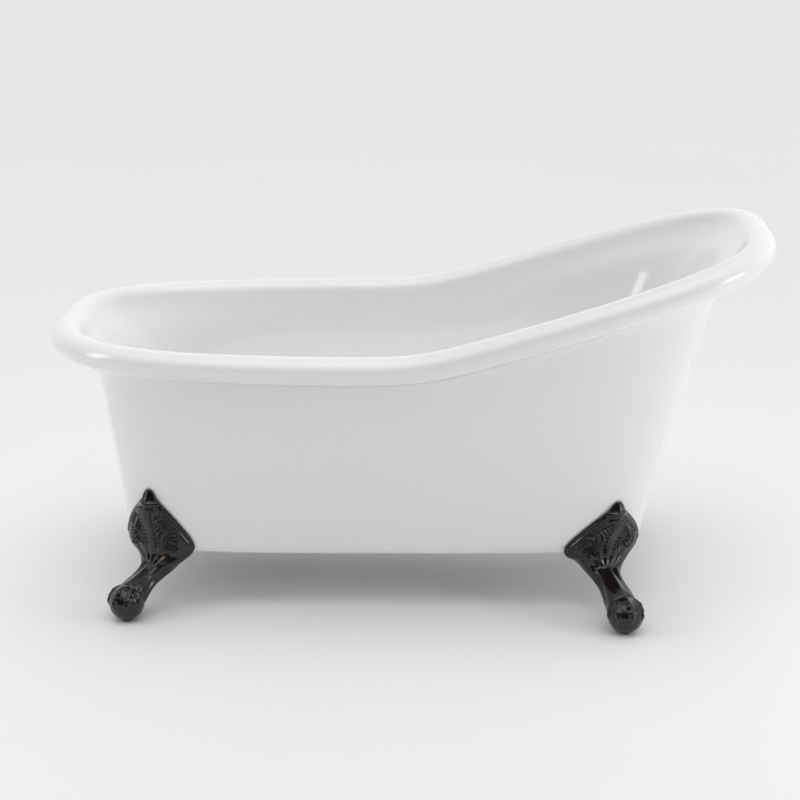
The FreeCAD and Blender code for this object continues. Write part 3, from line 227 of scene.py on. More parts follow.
# name, first and second colour, roughness from and to, metal, scale of the grain, bump's strength
simpleFinishes = {
    "white_sealant": (
        "siliconeBead", (0.80, 0.80, 0.79), (0.86, 0.86, 0.85), (0.35, 0.5), 0, 60, 0.08
    ),
    "bar_steel": (
        "greyPrimer", (0.055, 0.058, 0.062), (0.09, 0.093, 0.1), (0.5, 0.7), 0, 90, 0.2
    ),
    "zinc_steel": (
        "zincPlate", (0.42, 0.43, 0.44), (0.62, 0.62, 0.6), (0.25, 0.42), 1, 120, 0.1
    ),
    "black_rubber": (
        "mouldedRubber", (0.012, 0.012, 0.012), (0.024, 0.023, 0.022), (0.7, 0.88), 0, 200, 0.2
    ),
    "chrome_brass": (
        "polishedChrome", (0.78, 0.79, 0.81), (0.86, 0.87, 0.88), (0.04, 0.1), 1, 40, 0.02
    ),
    "grey_plastic": (
        "greyMoulding", (0.24, 0.25, 0.26), (0.31, 0.32, 0.33), (0.42, 0.56), 0, 160, 0.1
    ),
    "black_plastic": (
        "blackMoulding", (0.014, 0.014, 0.015), (0.028, 0.028, 0.03), (0.38, 0.55), 0, 160, 0.1
    ),
}


def grainedFinish(name, low, high, roughness, metal, scale, depth):
    finish = Finish(name, Metallic=metal)
    grain = finish.noise(scale, 4, 0.6)
    cloud = finish.noise(scale / 6, 3)
    finish.set(
        Base_Color=finish.mix(cloud, (*low, 1), (*high, 1)),
        Roughness=finish.ramp(cloud * 0.5 + grain * 0.5, 0.3, 0.7, roughness),
        Normal=finish.bump(grain, depth, 0.0005),
    )
    return finish.material


finishes = {
    "white_acrylic": whiteGelcoat(), "dark_bronze": darkBronze(), "board_wood": sealedBoard(),
}
for slotName, values in simpleFinishes.items():
    finishes[slotName] = grainedFinish(*values)
print("stage: finishes made")


def dressNodes():
    # every part of the frame gets the finish of its own slot
    for part in frame["record"]["subparts"]:
        data = frame["nodes"][part["node"]].data
        data.materials.clear()
        data.materials.append(finishes[part["material_slot"]])


dressNodes()


def keepPiece(name, mesh, slotName, body="bath", stands=()):
    data = bpy.data.meshes.new(name)
    mesh.to_mesh(data)
    mesh.free()
    data.shade_smooth()
    data.materials.append(finishes[slotName])
    piece = bpy.data.objects.new(name, data)
    scene.collection.objects.link(piece)
    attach(piece, body)
    if stands:
        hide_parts(*stands)
    return piece


def subdivided(piece, levels):
    smoother = piece.modifiers.new("smooth", "SUBSURF")
    smoother.levels = smoother.render_levels = levels


def evaluated(name, mesh, *settings):
    # the mesh with modifiers applied, as a bmesh of its own
    data = bpy.data.meshes.new(name)
    mesh.to_mesh(data)
    mesh.free()
    shaper = bpy.data.objects.new(name, data)
    scene.collection.objects.link(shaper)
    for kind, values in settings:
        modifier = shaper.modifiers.new(kind.lower(), kind)
        for key, value in values.items():
            setattr(modifier, key, value)
    bpy.context.view_layer.update()
    depsgraph = bpy.context.evaluated_depsgraph_get()
    finished = bmesh.new()
    finished.from_mesh(shaper.evaluated_get(depsgraph).to_mesh())
    shaper.to_mesh_clear()
    bpy.data.objects.remove(shaper)
    bpy.data.meshes.remove(data)
    return finished


# the bath's own curves, in millimetres
bath = {
    "columns": 64,
    "settlings": 8,
    "rimReach": 741,
    "rimHalfWidth": 334,
    "squareness": 3.3,
    "taper": 0.038,
    "rollHalfWidth": 34,
    "rollHalfHeight": 29,
    "rollFullness": 0.108,  # how far the cage stands outside the roll that it draws
    "lipBearing": -135,
    "lowHeight": 571,
    "slope": 0.301,
    "slopeStart": (33, 43),
    "slopeEnd": (850, 70),
    "drainLift": 10.5,
    "drainLiftStart": -450,
    "endReach": 775,
    "nudge": 1e-4,  # turn either side of a bearing, for a direction along a curve
}
basin = {
    "wall": 6,
    "kneeDrop": 80,
    "kneeEnds": (-635, 623),
    "kneeHalfWidth": 273,
    "floorHeight": 185,
    "floorEnds": (-500, 380),
    "floorHalfWidth": 215,
    "floorSquareness": 3.2,
    "cove": 80,
    "holeRadius": 26,
    "holeDepth": 60,
    "holeSides": 64,
    # waste and overflow: middle and direction
    "holes": (((-340, 0, 185), (0, 0, 1)), ((-600.5, 0, 418.3), (0.9132, 0, 0.4074))),
}
skirt = {
    "wall": 5,
    "baseHeight": 127,
    "baseEnds": (-616, 499),
    "baseHalfWidth": 242,
    "baseSquareness": 5.2,
    "baseTaper": -0.052,
    "topEnds": (-684, 672),
    "topHalfWidth": 325,
    "kneeDrop": 112,
    "laps": (6, 16),
    "edgeRound": 5,
    "flange": 110,
    "gap": 0.5,
}


def ovalSpot(ends, halfWidth, squareness, taper, bearing, growth=0):
    along, across = math.cos(bearing), math.sin(bearing)
    reach = (abs(along) ** squareness + abs(across) ** squareness) ** (-1 / squareness)
    start, end = ends[0] - growth, ends[1] + growth
    x = (start + end) / 2 + (end - start) / 2 * along * reach
    return x, (halfWidth + growth) * across * reach * (1 + taper * along * reach)


def softRamp(distance, softness):
    return softness * math.log1p(math.exp(distance / softness))


def rimHeight(x):
    start, startBlend = bath["slopeStart"]
    end, endBlend = bath["slopeEnd"]
    climb = softRamp(x - start, startBlend) - softRamp(x - end, endBlend)
    lift = max(0, bath["drainLiftStart"] - x) / (bath["endReach"] + bath["drainLiftStart"])
    return bath["lowHeight"] + bath["slope"] * climb + bath["drainLift"] * lift ** 2


def rimMiddle(bearing):
    reach = bath["rimReach"]
    x, y = ovalSpot(
        (-reach, reach), bath["rimHalfWidth"], bath["squareness"], bath["taper"], bearing
    )
    return Vector((x, y, rimHeight(x)))


def onRoll(bearing, across, up):
    along = rimMiddle(bearing + bath["nudge"]) - rimMiddle(bearing - bath["nudge"])
    outward = along.cross(Vector((0, 0, 1))).normalized()
    return rimMiddle(bearing) + outward * across + outward.cross(along.normalized()) * up


def underRoll(across):
    return -bath["rollHalfHeight"] * math.sqrt(1 - (across / bath["rollHalfWidth"]) ** 2)


def basinSection(bearing, wall):
    down = Vector((0, 0, -wall))
    spots = []
    # eighths of a turn from the lip, over the roll
    for turn in (0, 1 / 3, 1, 2, 3, 4, 5, 6):
        angle = math.radians(bath["lipBearing"] + 45 * turn)
        full = 1 + bath["rollFullness"] * min(turn, 1)
        spots.append(onRoll(
            bearing,
            (bath["rollHalfWidth"] - wall) * math.cos(angle) * full,
            (bath["rollHalfHeight"] - wall) * math.sin(angle) * full,
        ))
    edge = onRoll(bearing, wall - bath["rollHalfWidth"], -wall / 2)
    kneeX, kneeY = ovalSpot(
        basin["kneeEnds"], basin["kneeHalfWidth"], bath["squareness"], bath["taper"], bearing, wall
    )
    knee = Vector((kneeX, kneeY, rimMiddle(bearing).z - basin["kneeDrop"]))

    def floorSpot(growth):
        return Vector((*ovalSpot(
            basin["floorEnds"], basin["floorHalfWidth"], basin["floorSquareness"], 0, bearing,
            growth,
        ), basin["floorHeight"]))

    corner = floorSpot(wall)
    share = basin["cove"] / (knee - corner).length
    spots += [
        edge,
        edge.lerp(knee, 0.5),
        knee,
        knee.lerp(corner, 0.5),
        corner.lerp(knee, share) + down * share,
        corner + down,
        floorSpot(wall - basin["cove"]) + down,
        floorSpot(wall - 1.4 * basin["cove"]) + down,
    ]
    return spots


def skirtFoot(bearing, growth=0):
    return Vector((*ovalSpot(
        skirt["baseEnds"], skirt["baseHalfWidth"], skirt["baseSquareness"], skirt["baseTaper"],
        bearing, growth,
    ), skirt["baseHeight"]))


def skirtWall(bearing, height, growth=0):
    low = skirtFoot(bearing, growth)
    high = Vector((*ovalSpot(
        skirt["topEnds"], skirt["topHalfWidth"], bath["squareness"], bath["taper"], bearing, growth
    ), rimMiddle(bearing).z - 0.9 * bath["rollHalfHeight"]))
    return low.lerp(high, (height - low.z) / (high.z - low.z))


def skirtSection(bearing, wall):
    up = Vector((0, 0, wall))
    low = skirt["baseHeight"]
    knee = rimMiddle(bearing).z - skirt["kneeDrop"]
    side, end = skirt["laps"]
    across = -(side + (end - side) * math.cos(bearing) ** 2) - wall
    edge = 2 * skirt["edgeRound"] + wall
    return [
        skirtFoot(bearing, -skirt["flange"]) + up,
        skirtFoot(bearing, -0.6 * skirt["flange"]) + up,
        skirtFoot(bearing, -edge) + up,
        skirtFoot(bearing, -wall) + up,
        skirtWall(bearing, low + edge, -wall),
        skirtWall(bearing, low + (knee - low) * 0.35, -wall),
        skirtWall(bearing, low + (knee - low) * 0.7, -wall),
        skirtWall(bearing, knee, -wall),
        skirtWall(bearing, knee + skirt["kneeDrop"] / 2, -wall),
        onRoll(bearing, across, underRoll(across) - skirt["gap"]),
    ]


def settled(ring):
    # moves the ring's corners out until its smooth curve runs through the spots asked for
    corners = list(ring)
    count = len(corners)
    for _ in range(bath["settlings"]):
        drawn = [
            (corners[i - 1] + corners[i] * 4 + corners[(i + 1) % count]) / 6 for i in range(count)
        ]
        corners = [c + wanted - d for c, wanted, d in zip(corners, ring, drawn)]
    return corners


def ringOf(mesh, spots):
    made = bmesh.ops.create_circle(mesh, cap_ends=False, segments=len(spots), radius=1)
    for corner, spot in zip(made["verts"], spots):
        corner.co = spot * mm
    return list({edge for corner in made["verts"] for edge in corner.link_edges})


def bearingsRound():
    return [2 * math.pi * i / bath["columns"] for i in range(bath["columns"])]


def shellCage(section, wall, capped):
    # rings down one face and back up the other, bridged one to the next
    rings = []
    for thickness in (0, wall):
        sections = [section(bearing, thickness) for bearing in bearingsRound()]
        face = [settled(ring) for ring in zip(*sections)]
        rings.append(face if thickness == 0 else face[::-1])
    mesh = bmesh.new()
    front = [ringOf(mesh, ring) for ring in rings[0]]
    back = [ringOf(mesh, ring) for ring in rings[1]]
    for face in (front, back):
        for first, second in zip(face, face[1:]):
            bmesh.ops.bridge_loops(mesh, edges=first + second)
    bmesh.ops.bridge_loops(mesh, edges=front[0] + back[-1])
    if capped:
        for edges in (front[-1], back[0]):
            bmesh.ops.edgeloop_fill(mesh, edges=edges)
    else:
        bmesh.ops.bridge_loops(mesh, edges=front[-1] + back[0])
    bmesh.ops.recalc_face_normals(mesh, faces=mesh.faces)
    return mesh


def drill(mesh, place, along):
    # cuts a round hole through the mesh with a boolean
    radius, depth = basin["holeRadius"], basin["holeDepth"]
    cutter = bmesh.new()
    turned = Vector(along).to_track_quat("Z", "Y").to_matrix().to_4x4()
    bmesh.ops.create_cone(
        cutter, cap_ends=True, segments=basin["holeSides"], radius1=radius * mm,
        radius2=radius * mm, depth=depth * mm,
        matrix=Matrix.Translation(Vector(place) * mm) @ turned,
    )
    data = bpy.data.meshes.new("cutter")
    cutter.to_mesh(data)
    cutter.free()
    tool = bpy.data.objects.new("cutter", data)
    scene.collection.objects.link(tool)
    drilled = evaluated(
        "drilled", mesh,
        ("BOOLEAN", {"operation": "DIFFERENCE", "solver": "EXACT", "object": tool}),
    )
    bpy.data.objects.remove(tool)
    bpy.data.meshes.remove(data)
    # what the boolean leaves inside the hole goes, so that the hole is open right through
    centre, way = Vector(place) * mm, Vector(along).normalized()
    within = []
    for face in drilled.faces:
        offset = face.calc_center_median() - centre
        height = offset.dot(way)
        if abs(height) < 0.51 * depth * mm and (offset - way * height).length < radius * mm:
            within.append(face)
    bmesh.ops.delete(drilled, geom=within, context="FACES")
    return drilled


basinMesh = evaluated(
    "basin", shellCage(basinSection, basin["wall"], True),
    ("SUBSURF", {"levels": 2, "render_levels": 2}),
)
for place, along in basin["holes"]:
    basinMesh = drill(basinMesh, place, along)
keepPiece("rolledBasin", basinMesh, "white_acrylic", stands=["basin_shell"])
subdivided(
    keepPiece("outerSkirt", shellCage(skirtSection, skirt["wall"], False), "white_acrylic",
              stands=["outer_shell"]), 2)
print("stage: shells built")

# feet: the shield that wraps the base's corner, the leg, the ball and its claws
foot = {
    "bearings": {"drain": 45, "head": 45.7},
    "tops": {"drain": 278, "head": 257},
    "wing": 97,
    "ridge": 27,
    "edge": 7,
    "clearance": 1.2,
    "neckRadius": 24,
    "neckHeight": 93,
    "ballRadius": 38,
    "ballHeight": 38.6,
    "balls": {"drain": (-599, -292), "head": (464, -322)},
    "bars": {"drain": -545, "head": 425},
    # the lug under the base: half the bar's width, how far in it reaches, and its drop
    "lugHalf": 24,
    "lugReach": (-178, -98),
    "lugDrop": (10.3, 0.3),
    # height, half width and ridge as shares, from the leaf's tip down
    "outline": (
        (1.00, 0.05, 0.22), (0.93, 0.14, 0.41), (0.84, 0.19, 0.72), (0.77, 0.31, 1.00),
        (0.60, 0.56, 1.04), (0.40, 0.81, 0.62), (0.22, 1.00, 0.40), (0.09, 0.97, 0.38),
        (0.00, 0.84, 0.42),
    ),
    "across": (-1, -0.905, -0.714, -0.429, -0.143, 0.143, 0.429, 0.714, 0.905, 1),
    "shellLevels": 3,
    "voxel": 1.25,
    "pocket": (12.6, 5.2),  # for the glide: radius and ceiling
}
carving = {
    "scroll": (50, 32),  # out from the ridge, up from the base
    "scrollPitch": 7.6,
    "scrollDepth": 2.6,
    "eyeDepth": 2.4,
    "eyeSpread": 4.2,
    "flowPitch": 7.2,
    "flowDepth": 2.0,
    "bandDepth": 3.0,
    "dotPitch": 10,
    "dotDepth": 3.2,
    "dotsOut": 11.5,
    "dotSpread": 2.3,
    "featherDepth": 0.8,
    "featherCount": 15,
    "fluteDepth": 1.3,
    "fluteCount": 7,
}
claw = {
    "turns": (-92, -46, 0, 46, 92),  # round the ball, from straight out
    "wrist": 50,
    "start": 0.42,
    "end": 14,
    "stand": -3.6,
    "radius": 8.4,
    "steps": 16,
    # place along the toe and thickness there, as shares
    "knuckles": ((0.0, 0.8), (0.25, 0.9), (0.45, 1.12), (0.62, 0.94), (0.8, 1.08), (1.0, 0.82)),
    "nailStart": 3,
    "nailReach": 26,
    "nailSides": 12,
    # share of the reach, lift off the ball, thickness
    "nail": (
        (0, 3.0, 5.2), (0.3, 3.6, 5.0), (0.6, 3.4, 3.8), (0.85, 3.0, 2.4), (1, 2.8, 1.0)
    ),
}


def walkRound(bearing, height, distance):
    # the bearing a distance further round the skirt, in a few even steps
    nudge, steps = bath["nudge"], 12
    for _ in range(steps):
        along = skirtWall(bearing + nudge, height) - skirtWall(bearing - nudge, height)
        bearing += distance / steps / (along.length / (2 * nudge))
    return bearing


def offSkirt(bearing, height, distance, standoff):
    there, nudge = walkRound(bearing, height, distance), bath["nudge"]
    along = skirtWall(there + nudge, height) - skirtWall(there - nudge, height)
    up = skirtWall(there, height + 1) - skirtWall(there, height)
    return skirtWall(there, height) + along.cross(up).normalized() * standoff


def shieldRows(bearing, top):
    low = skirt["baseHeight"]
    rows = []
    for heightShare, widthShare, ridgeShare in foot["outline"]:
        height = low + (top - low) * heightShare
        pair = ([], [])
        for share in foot["across"]:
            crown = max(0, math.cos(share * math.pi / 2)) ** 1.2
            edge = foot["edge"] * (1 if abs(share) < 0.95 else 0.75)
            standoff = edge + (foot["ridge"] * ridgeShare - edge) * crown
            distance = foot["wing"] * widthShare * share
            pair[0].append(offSkirt(bearing, height, distance, max(standoff, edge)))
            pair[1].append(offSkirt(bearing, height, distance, foot["clearance"]))
        rows.append(pair)
    return rows


def legRows(knee, ball):
    outward = Vector((ball.x - knee.x, ball.y - knee.y, 0)).normalized()
    side = Vector((-outward.y, outward.x, 0))
    neck = foot["neckRadius"]
    middle = Vector((knee.x, knee.y, foot["neckHeight"]))
    table = (
        # centre, half width, front depth, back depth, wrap of the edges
        (knee + outward * 2 + Vector((0, 0, -12)), 2.6 * neck, 0.55 * neck, 0.45 * neck, 30),
        (middle + outward * 2, 1.75 * neck, 0.85 * neck, 0.8 * neck, 16),
        (middle.lerp(ball, 0.30), 1.0 * neck, 0.9 * neck, 0.8 * neck, 5),
        (middle.lerp(ball, 0.60), 1.2 * neck, 1.2 * neck, 0.95 * neck, 0),
        (middle.lerp(ball, 0.95), 1.5 * neck, 1.5 * neck, 1.3 * neck, 0),
    )
    path = (ball - middle).normalized()
    rows = []
    for number, (centre, halfWidth, frontDepth, backDepth, wrap) in enumerate(table):
        square = outward.lerp(path.cross(side), min(1, number / 2)).normalized()
        if square.dot(outward) < 0:
            square = -square
        pair = ([], [])
        for share in foot["across"]:
            bulge = max(0, math.cos(share * math.pi / 2)) ** 0.7
            spot = centre + side * halfWidth * math.sin(share * math.pi / 2)
            spot = spot - outward * wrap * share * share
            pair[0].append(spot + square * (1.5 + frontDepth * bulge))
            pair[1].append(spot - square * (1.5 + backDepth * bulge))
        rows.append(pair)
    return rows


def gridShell(mesh, rows):
    # a grid laid through the front rows, extruded and dropped on to the back rows
    columns, lines = len(rows[0][0]), len(rows)
    column = mesh.verts.layers.int.new("column")
    line = mesh.verts.layers.int.new("line")
    made = bmesh.ops.create_grid(mesh, x_segments=columns - 1, y_segments=lines - 1, size=1)
    faces = {face for corner in made["verts"] for face in corner.link_faces}
    for corner in made["verts"]:
        corner[column] = round((corner.co.x + 1) / 2 * (columns - 1))
        corner[line] = round((corner.co.y + 1) / 2 * (lines - 1))
    for corner in made["verts"]:
        corner.co = rows[corner[line]][0][corner[column]] * mm
    spread = bmesh.ops.extrude_face_region(mesh, geom=list(faces), use_keep_orig=True)
    for corner in spread["geom"]:
        if isinstance(corner, bmesh.types.BMVert):
            corner.co = rows[corner[line]][1][corner[column]] * mm


def ballOf(mesh, centre, radius, segments=24):
    place = Matrix.Translation(centre * mm)
    bmesh.ops.create_uvsphere(
        mesh, u_segments=segments, v_segments=segments // 2, radius=radius * mm, matrix=place
    )


def barAlong(mesh, spots, radii, sides=14):
    # a round bar of changing thickness through the spots, closed at both ends
    loops = []
    for number, (spot, radius) in enumerate(zip(spots, radii)):
        ahead = spots[min(number + 1, len(spots) - 1)] - spots[max(number - 1, 0)]
        turned = ahead.to_track_quat("Z", "Y").to_matrix().to_4x4()
        made = bmesh.ops.create_circle(
            mesh, cap_ends=number in (0, len(spots) - 1), segments=sides, radius=radius * mm,
            matrix=Matrix.Translation(spot * mm) @ turned,
        )
        corners = set(made["verts"])
        loops.append(list({
            edge for corner in made["verts"] for edge in corner.link_edges
            if all(end in corners for end in edge.verts)
        }))
    for first, second in zip(loops, loops[1:]):
        bmesh.ops.bridge_loops(mesh, edges=first + second)


def knuckled(share):
    table = claw["knuckles"]
    for (low, lowSize), (high, highSize) in zip(table, table[1:]):
        if share <= high:
            part = (share - low) / (high - low)
            return lowSize + (highSize - lowSize) * (1 - math.cos(part * math.pi)) / 2
    return table[-1][1]


def clawsOn(mesh, ball, leg):
    # toes lie over the top of the ball and end, nails down, at its middle
    side = Vector((-leg.y, leg.x, 0))
    up = Vector((0, 0, 1))
    rise, drop = math.radians(claw["wrist"]), math.radians(claw["end"])
    wrist = up * math.sin(rise) - leg * math.cos(rise)
    bend = foot["ballRadius"] + claw["stand"]
    for turn in claw["turns"]:
        angle = math.radians(turn)
        level = leg * math.cos(angle) + side * math.sin(angle)
        tip = level * math.cos(drop) + up * math.sin(drop)
        first = wrist.slerp(tip, claw["start"])
        shares = [step / claw["steps"] for step in range(claw["steps"] + 1)]
        barAlong(
            mesh,
            [ball + first.slerp(tip, share) * bend for share in shares],
            [claw["radius"] * knuckled(share) for share in shares],
        )
        nail = [
            (drop + math.radians(claw["nailStart"] - claw["nailReach"] * share), lift, thick)
            for share, lift, thick in claw["nail"]
        ]
        barAlong(
            mesh,
            [
                ball + (level * math.cos(rising) + up * math.sin(rising)) * (bend + lift)
                for rising, lift, _ in nail
            ],
            [thick for _, _, thick in nail],
            claw["nailSides"],
        )


def lugOn(mesh, knee, barX):
    half, (shoulder, inner) = foot["lugHalf"], foot["lugReach"]
    side = Vector((knee.y, -knee.x, 0)).normalized() * half
    outer = sorted((knee + side, knee - side), key=lambda spot: spot.x)
    flat = [
        Vector((barX - half, inner, 0)), Vector((barX - half, shoulder, 0)), outer[0], outer[1],
        Vector((barX + half, shoulder, 0)), Vector((barX + half, inner, 0)),
    ]
    low, high = (skirt["baseHeight"] - drop for drop in foot["lugDrop"])
    made = bmesh.ops.create_circle(mesh, cap_ends=True, segments=len(flat), radius=1)
    for corner, spot in zip(made["verts"], flat):
        corner.co = Vector((spot.x, spot.y, low)) * mm
    face = list({face for corner in made["verts"] for face in corner.link_faces})
    grown = bmesh.ops.extrude_face_region(mesh, geom=face, use_keep_orig=True)
    rising = [item for item in grown["geom"] if isinstance(item, bmesh.types.BMVert)]
    bmesh.ops.translate(mesh, verts=rising, vec=(0, 0, (high - low) * mm))


def poured(parts):
    mesh = bmesh.new()
    for part in parts:
        holder = bpy.data.meshes.new("part")
        part.to_mesh(holder)
        part.free()
        mesh.from_mesh(holder)
        bpy.data.meshes.remove(holder)
    return mesh


def swell(value, low, high):
    share = min(1, max(0, (value - low) / (high - low)))
    return share * share * (3 - 2 * share)


def hump(value, centre, spread):
    return math.exp(-((value - centre) / spread) ** 2)


def halfWidthAt(share):
    table = foot["outline"]
    for (high, wide, _), (low, narrow, _) in zip(table, table[1:]):
        if share >= low:
            return foot["wing"] * (narrow + (wide - narrow) * (share - low) / (high - low))
    return foot["wing"] * table[-1][1]


def reliefAt(aside, rise, tall):
    # height of the carving over the shield's plain face, in millimetres
    share = rise / tall
    out = abs(aside)
    edge = (halfWidthAt(min(1, share)) - out) * 0.8
    body = swell(share, 0.86, 0.76) * swell(share, -0.12, -0.02)
    wing = swell(share, 0.78, 0.70) * swell(share, 0.16, 0.24)
    high = carving["bandDepth"] * (0.9 * hump(edge, 13, 2.2) - hump(edge, 7, 3.2)) * wing
    inner = swell(edge, 13, 19)
    centreOut, centreUp = carving["scroll"]
    away = math.hypot(out - centreOut, rise - centreUp)
    turn = math.atan2(rise - centreUp, centreOut - out)
    tipSide = swell(out - centreOut, 20, 4)
    spiral = math.cos(2 * math.pi * away / carving["scrollPitch"] - turn)
    high += carving["scrollDepth"] * spiral * swell(away, 25, 20) * swell(away, 2, 6) * tipSide
    high += carving["eyeDepth"] * hump(away, 0, carving["eyeSpread"])
    flow = math.cos(2 * math.pi * away / carving["flowPitch"] + 0.9 * math.sin(3 * turn + 0.6))
    ridgeSide = swell(out, 13, 19) * swell(rise - centreUp, -22, -8)
    high += carving["flowDepth"] * flow * swell(away, 23, 28) * swell(away, 74, 60) * ridgeSide * (
        inner * body
    )
    step = (rise / carving["dotPitch"]) % 1 - 0.5
    dots = hump(math.hypot(out - carving["dotsOut"], step * carving["dotPitch"]), 0,
                carving["dotSpread"])
    high -= carving["dotDepth"] * dots * swell(share, 0.72, 0.66) * swell(share, 0.08, 0.14)
    fan = math.cos(math.atan2(out, rise + 34) * carving["featherCount"])
    high += carving["featherDepth"] * fan * swell(rise, 26, 12) * swell(rise, -30, -12) * (
        swell(out, 60, 46)
    )
    leaf = swell(share, 0.80, 0.86)
    high += leaf * (1.6 * hump(out, 0, 2.4) - 1.5 * hump(out, 6.5, 2.6))
    high += 1.6 * hump(share, 0.80, 0.022) * swell(out, 34, 24) - 1.8 * hump(share, 0.755, 0.02)
    return high


def skirtSamples(bearing, top):
    # a tree of spots on the skirt's face, each with its place from the ridge and its frame
    step, below, above, reach, nudge = 2.5, 30, 12, 110, 1e-3
    low = skirt["baseHeight"] - below
    found = []
    for row in range(int((top + above - low) / step)):
        height = low + row * step
        for way in (-1, 1):
            there, aside = bearing, 0
            while abs(aside) <= reach:
                spot = skirtWall(there, height)
                along = skirtWall(there + nudge, height) - skirtWall(there - nudge, height)
                up = skirtWall(there, height + 1) - spot
                outward = along.cross(up).normalized()
                found.append((spot, aside, height, along.normalized(), outward))
                there += way * step / (along.length / (2 * nudge))
                aside += way * step
    tree = KDTree(len(found))
    for number, entry in enumerate(found):
        tree.insert(entry[0], number)
    tree.balance()
    return tree, found


def carve(cast, bearing, top, middle, ball, side):
    low = skirt["baseHeight"]
    tree, found = skirtSamples(bearing, top)
    axis = ball - middle
    square = axis.cross(side).normalized()
    cast.normal_update()
    moves = []
    for corner in cast.verts:
        spot = corner.co / mm
        if spot.z > low - 34:
            _, number, _ = tree.find(spot)
            base, aside, height, along, outward = found[number]
            apart = spot - base
            standoff = apart.dot(outward)
            front = swell(standoff, 3.5, 6.5) * max(0, corner.normal.dot(outward))
            if front:
                high = reliefAt(aside + apart.dot(along), height + apart.z - low, top - low)
                moves.append((corner, corner.normal * high * front))
        share = (spot - middle).dot(axis) / axis.length_squared
        if 0 < share < 0.8 and spot.z < low - 8:
            apart = spot - middle - axis * share
            flute = math.cos(
                carving["fluteCount"] * math.atan2(apart.dot(side), apart.dot(square))
            )
            fade = swell(share, 0, 0.2) * swell(share, 0.8, 0.6)
            moves.append((corner, corner.normal * flute * fade * carving["fluteDepth"]))
    for corner, move in moves:
        corner.co += move * mm


def castFoot(end):
    bearing = math.radians(
        180 + foot["bearings"][end] if end == "drain" else 360 - foot["bearings"][end]
    )
    top = foot["tops"][end]
    x, y = foot["balls"][end]
    ball = Vector((x, y, foot["ballHeight"]))
    knee = skirtWall(bearing, skirt["baseHeight"])
    leg = Vector((ball.x - knee.x, ball.y - knee.y, 0)).normalized()
    shell = bmesh.new()
    gridShell(shell, shieldRows(bearing, top) + legRows(knee, ball))
    bmesh.ops.recalc_face_normals(shell, faces=shell.faces)
    shell = evaluated("shell", shell, ("SUBSURF", {"levels": foot["shellLevels"]}))
    rest = bmesh.new()
    ballOf(rest, ball, foot["ballRadius"], 64)
    clawsOn(rest, ball, leg)
    lugOn(rest, knee, foot["bars"][end])
    bmesh.ops.recalc_face_normals(rest, faces=rest.faces)
    cast = evaluated(
        "cast", poured([shell, rest]),
        ("REMESH", {"mode": "VOXEL", "voxel_size": foot["voxel"] * mm}),
    )

    def smooth(rounds, factor):
        for _ in range(rounds):
            bmesh.ops.smooth_vert(
                cast, verts=cast.verts, factor=factor, use_axis_x=True, use_axis_y=True,
                use_axis_z=True,
            )

    smooth(3, 0.5)
    middle = Vector((knee.x, knee.y, foot["neckHeight"])) + leg * 2
    carve(cast, bearing, top, middle, ball, Vector((-leg.y, leg.x, 0)))
    smooth(1, 0.3)
    pocket, ceiling = foot["pocket"]
    for corner in cast.verts:
        apart = math.hypot(corner.co.x / mm - x, corner.co.y / mm - y)
        if apart < pocket and corner.co.z < ceiling * mm:
            corner.co.z = ceiling * mm
    return cast


def mirroredMesh(data):
    mesh = bmesh.new()
    mesh.from_mesh(data)
    bmesh.ops.scale(mesh, vec=(1, -1, 1), verts=mesh.verts)
    bmesh.ops.reverse_faces(mesh, faces=mesh.faces)
    return mesh


for end in ("drain", "head"):
    front = keepPiece(
        f"clawFoot_{end}_front", castFoot(end), "dark_bronze", stands=[f"foot_{end}_front"]
    )
    keepPiece(
        f"clawFoot_{end}_back", mirroredMesh(front.data), "dark_bronze",
        stands=[f"foot_{end}_back"],
    )
    print("stage: foot", end, len(front.data.polygons), "faces")


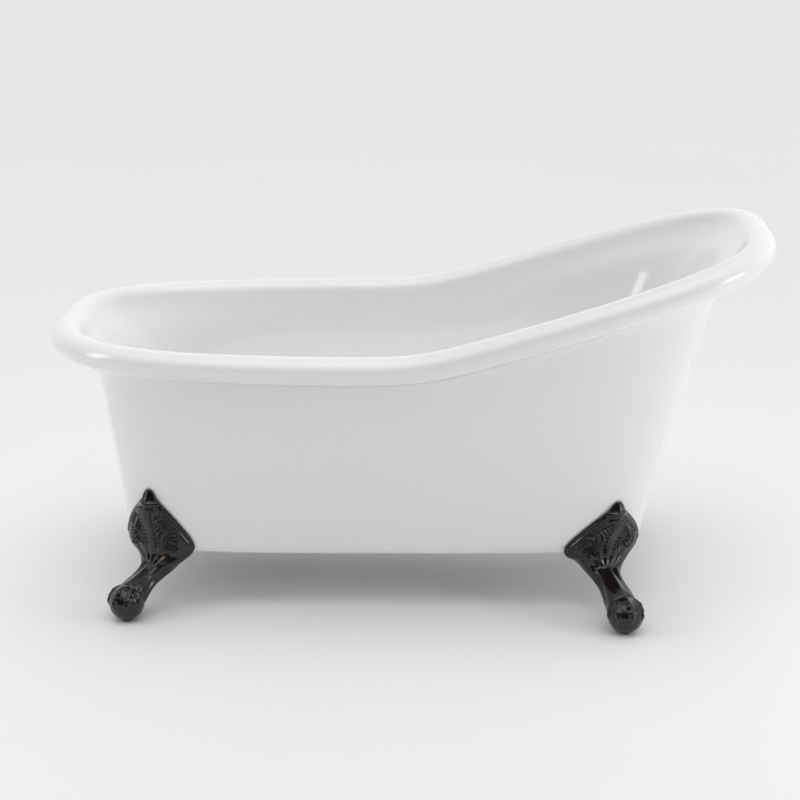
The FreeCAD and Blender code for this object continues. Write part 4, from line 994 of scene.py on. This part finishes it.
# floor, sky and lights
studio = {
    "floorSize": 30,
    "paper": ((0.87, 0.87, 0.872, 1), (0.89, 0.89, 0.892, 1)),
    "sky": {
        "even": 0.06, "sides": 0.35, "top": 0.1, "right": 0.2, "front": -0.24, "behind": 0.66,
        "overhead": 2.25,
        "overheadPlace": (-0.22, 0.975),  # towards the camera and up
        "overheadFocus": 6,
    },
    "lights": (
        # name, place, aim, width, height, power
        ("leftBox", (-3.0, -1.1, 1.7), (-0.5, 0, 0.5), 0.6, 1.6, 13),
        ("rightBox", (3.1, -1.2, 1.0), (0.4, 0, 0.5), 0.9, 0.9, 16),
    ),
}


def setStudio():
    mesh = bmesh.new()
    bmesh.ops.create_grid(mesh, x_segments=2, y_segments=2, size=studio["floorSize"])
    data = bpy.data.meshes.new("paperFloor")
    mesh.to_mesh(data)
    mesh.free()
    finish = Finish("paperSweep", Roughness=0.95, Specular_IOR_Level=0.1)
    finish.set(Base_Color=finish.mix(finish.noise(0.8, 2), *studio["paper"]))
    data.materials.append(finish.material)
    floor = bpy.data.objects.new("paperFloor", data)
    scene.collection.objects.link(floor)
    world = bpy.data.worlds.new("studioAir")
    world.use_nodes = True
    tree = world.node_tree
    spot = tree.nodes.new("ShaderNodeTexCoord")
    split = tree.nodes.new("ShaderNodeSeparateXYZ")
    tree.links.new(spot.outputs["Generated"], split.inputs[0])
    x, y, z = (Wire(tree, output) for output in split.outputs)
    sky = studio["sky"]
    forward, upward = sky["overheadPlace"]
    softbox = (y * forward + z * upward).clamped() ** sky["overheadFocus"]
    glow = sky["even"] + sky["sides"] * x ** 2 + sky["top"] * z.clamped() + sky["right"] * x
    feed(tree, tree.nodes["Background"].inputs[1],
         (glow - sky["front"] * y + sky["behind"] * y.clamped() + sky["overhead"] * softbox)
         .atLeast(0.02))
    tree.nodes["Background"].inputs[0].default_value = (1, 1, 1, 1)
    scene.world = world
    for name, place, aim, width, height, power in studio["lights"]:
        data = bpy.data.lights.new(name, "AREA")
        data.shape = "RECTANGLE"
        data.size, data.size_y = width, height
        data.energy = power
        lamp = bpy.data.objects.new(name, data)
        lamp.location = place
        lamp.rotation_euler = (Vector(aim) - Vector(place)).to_track_quat("-Z", "Y").to_euler()
        scene.collection.objects.link(lamp)
    scene.view_settings.view_transform = "Standard"


setStudio()
print("stage: studio lit")
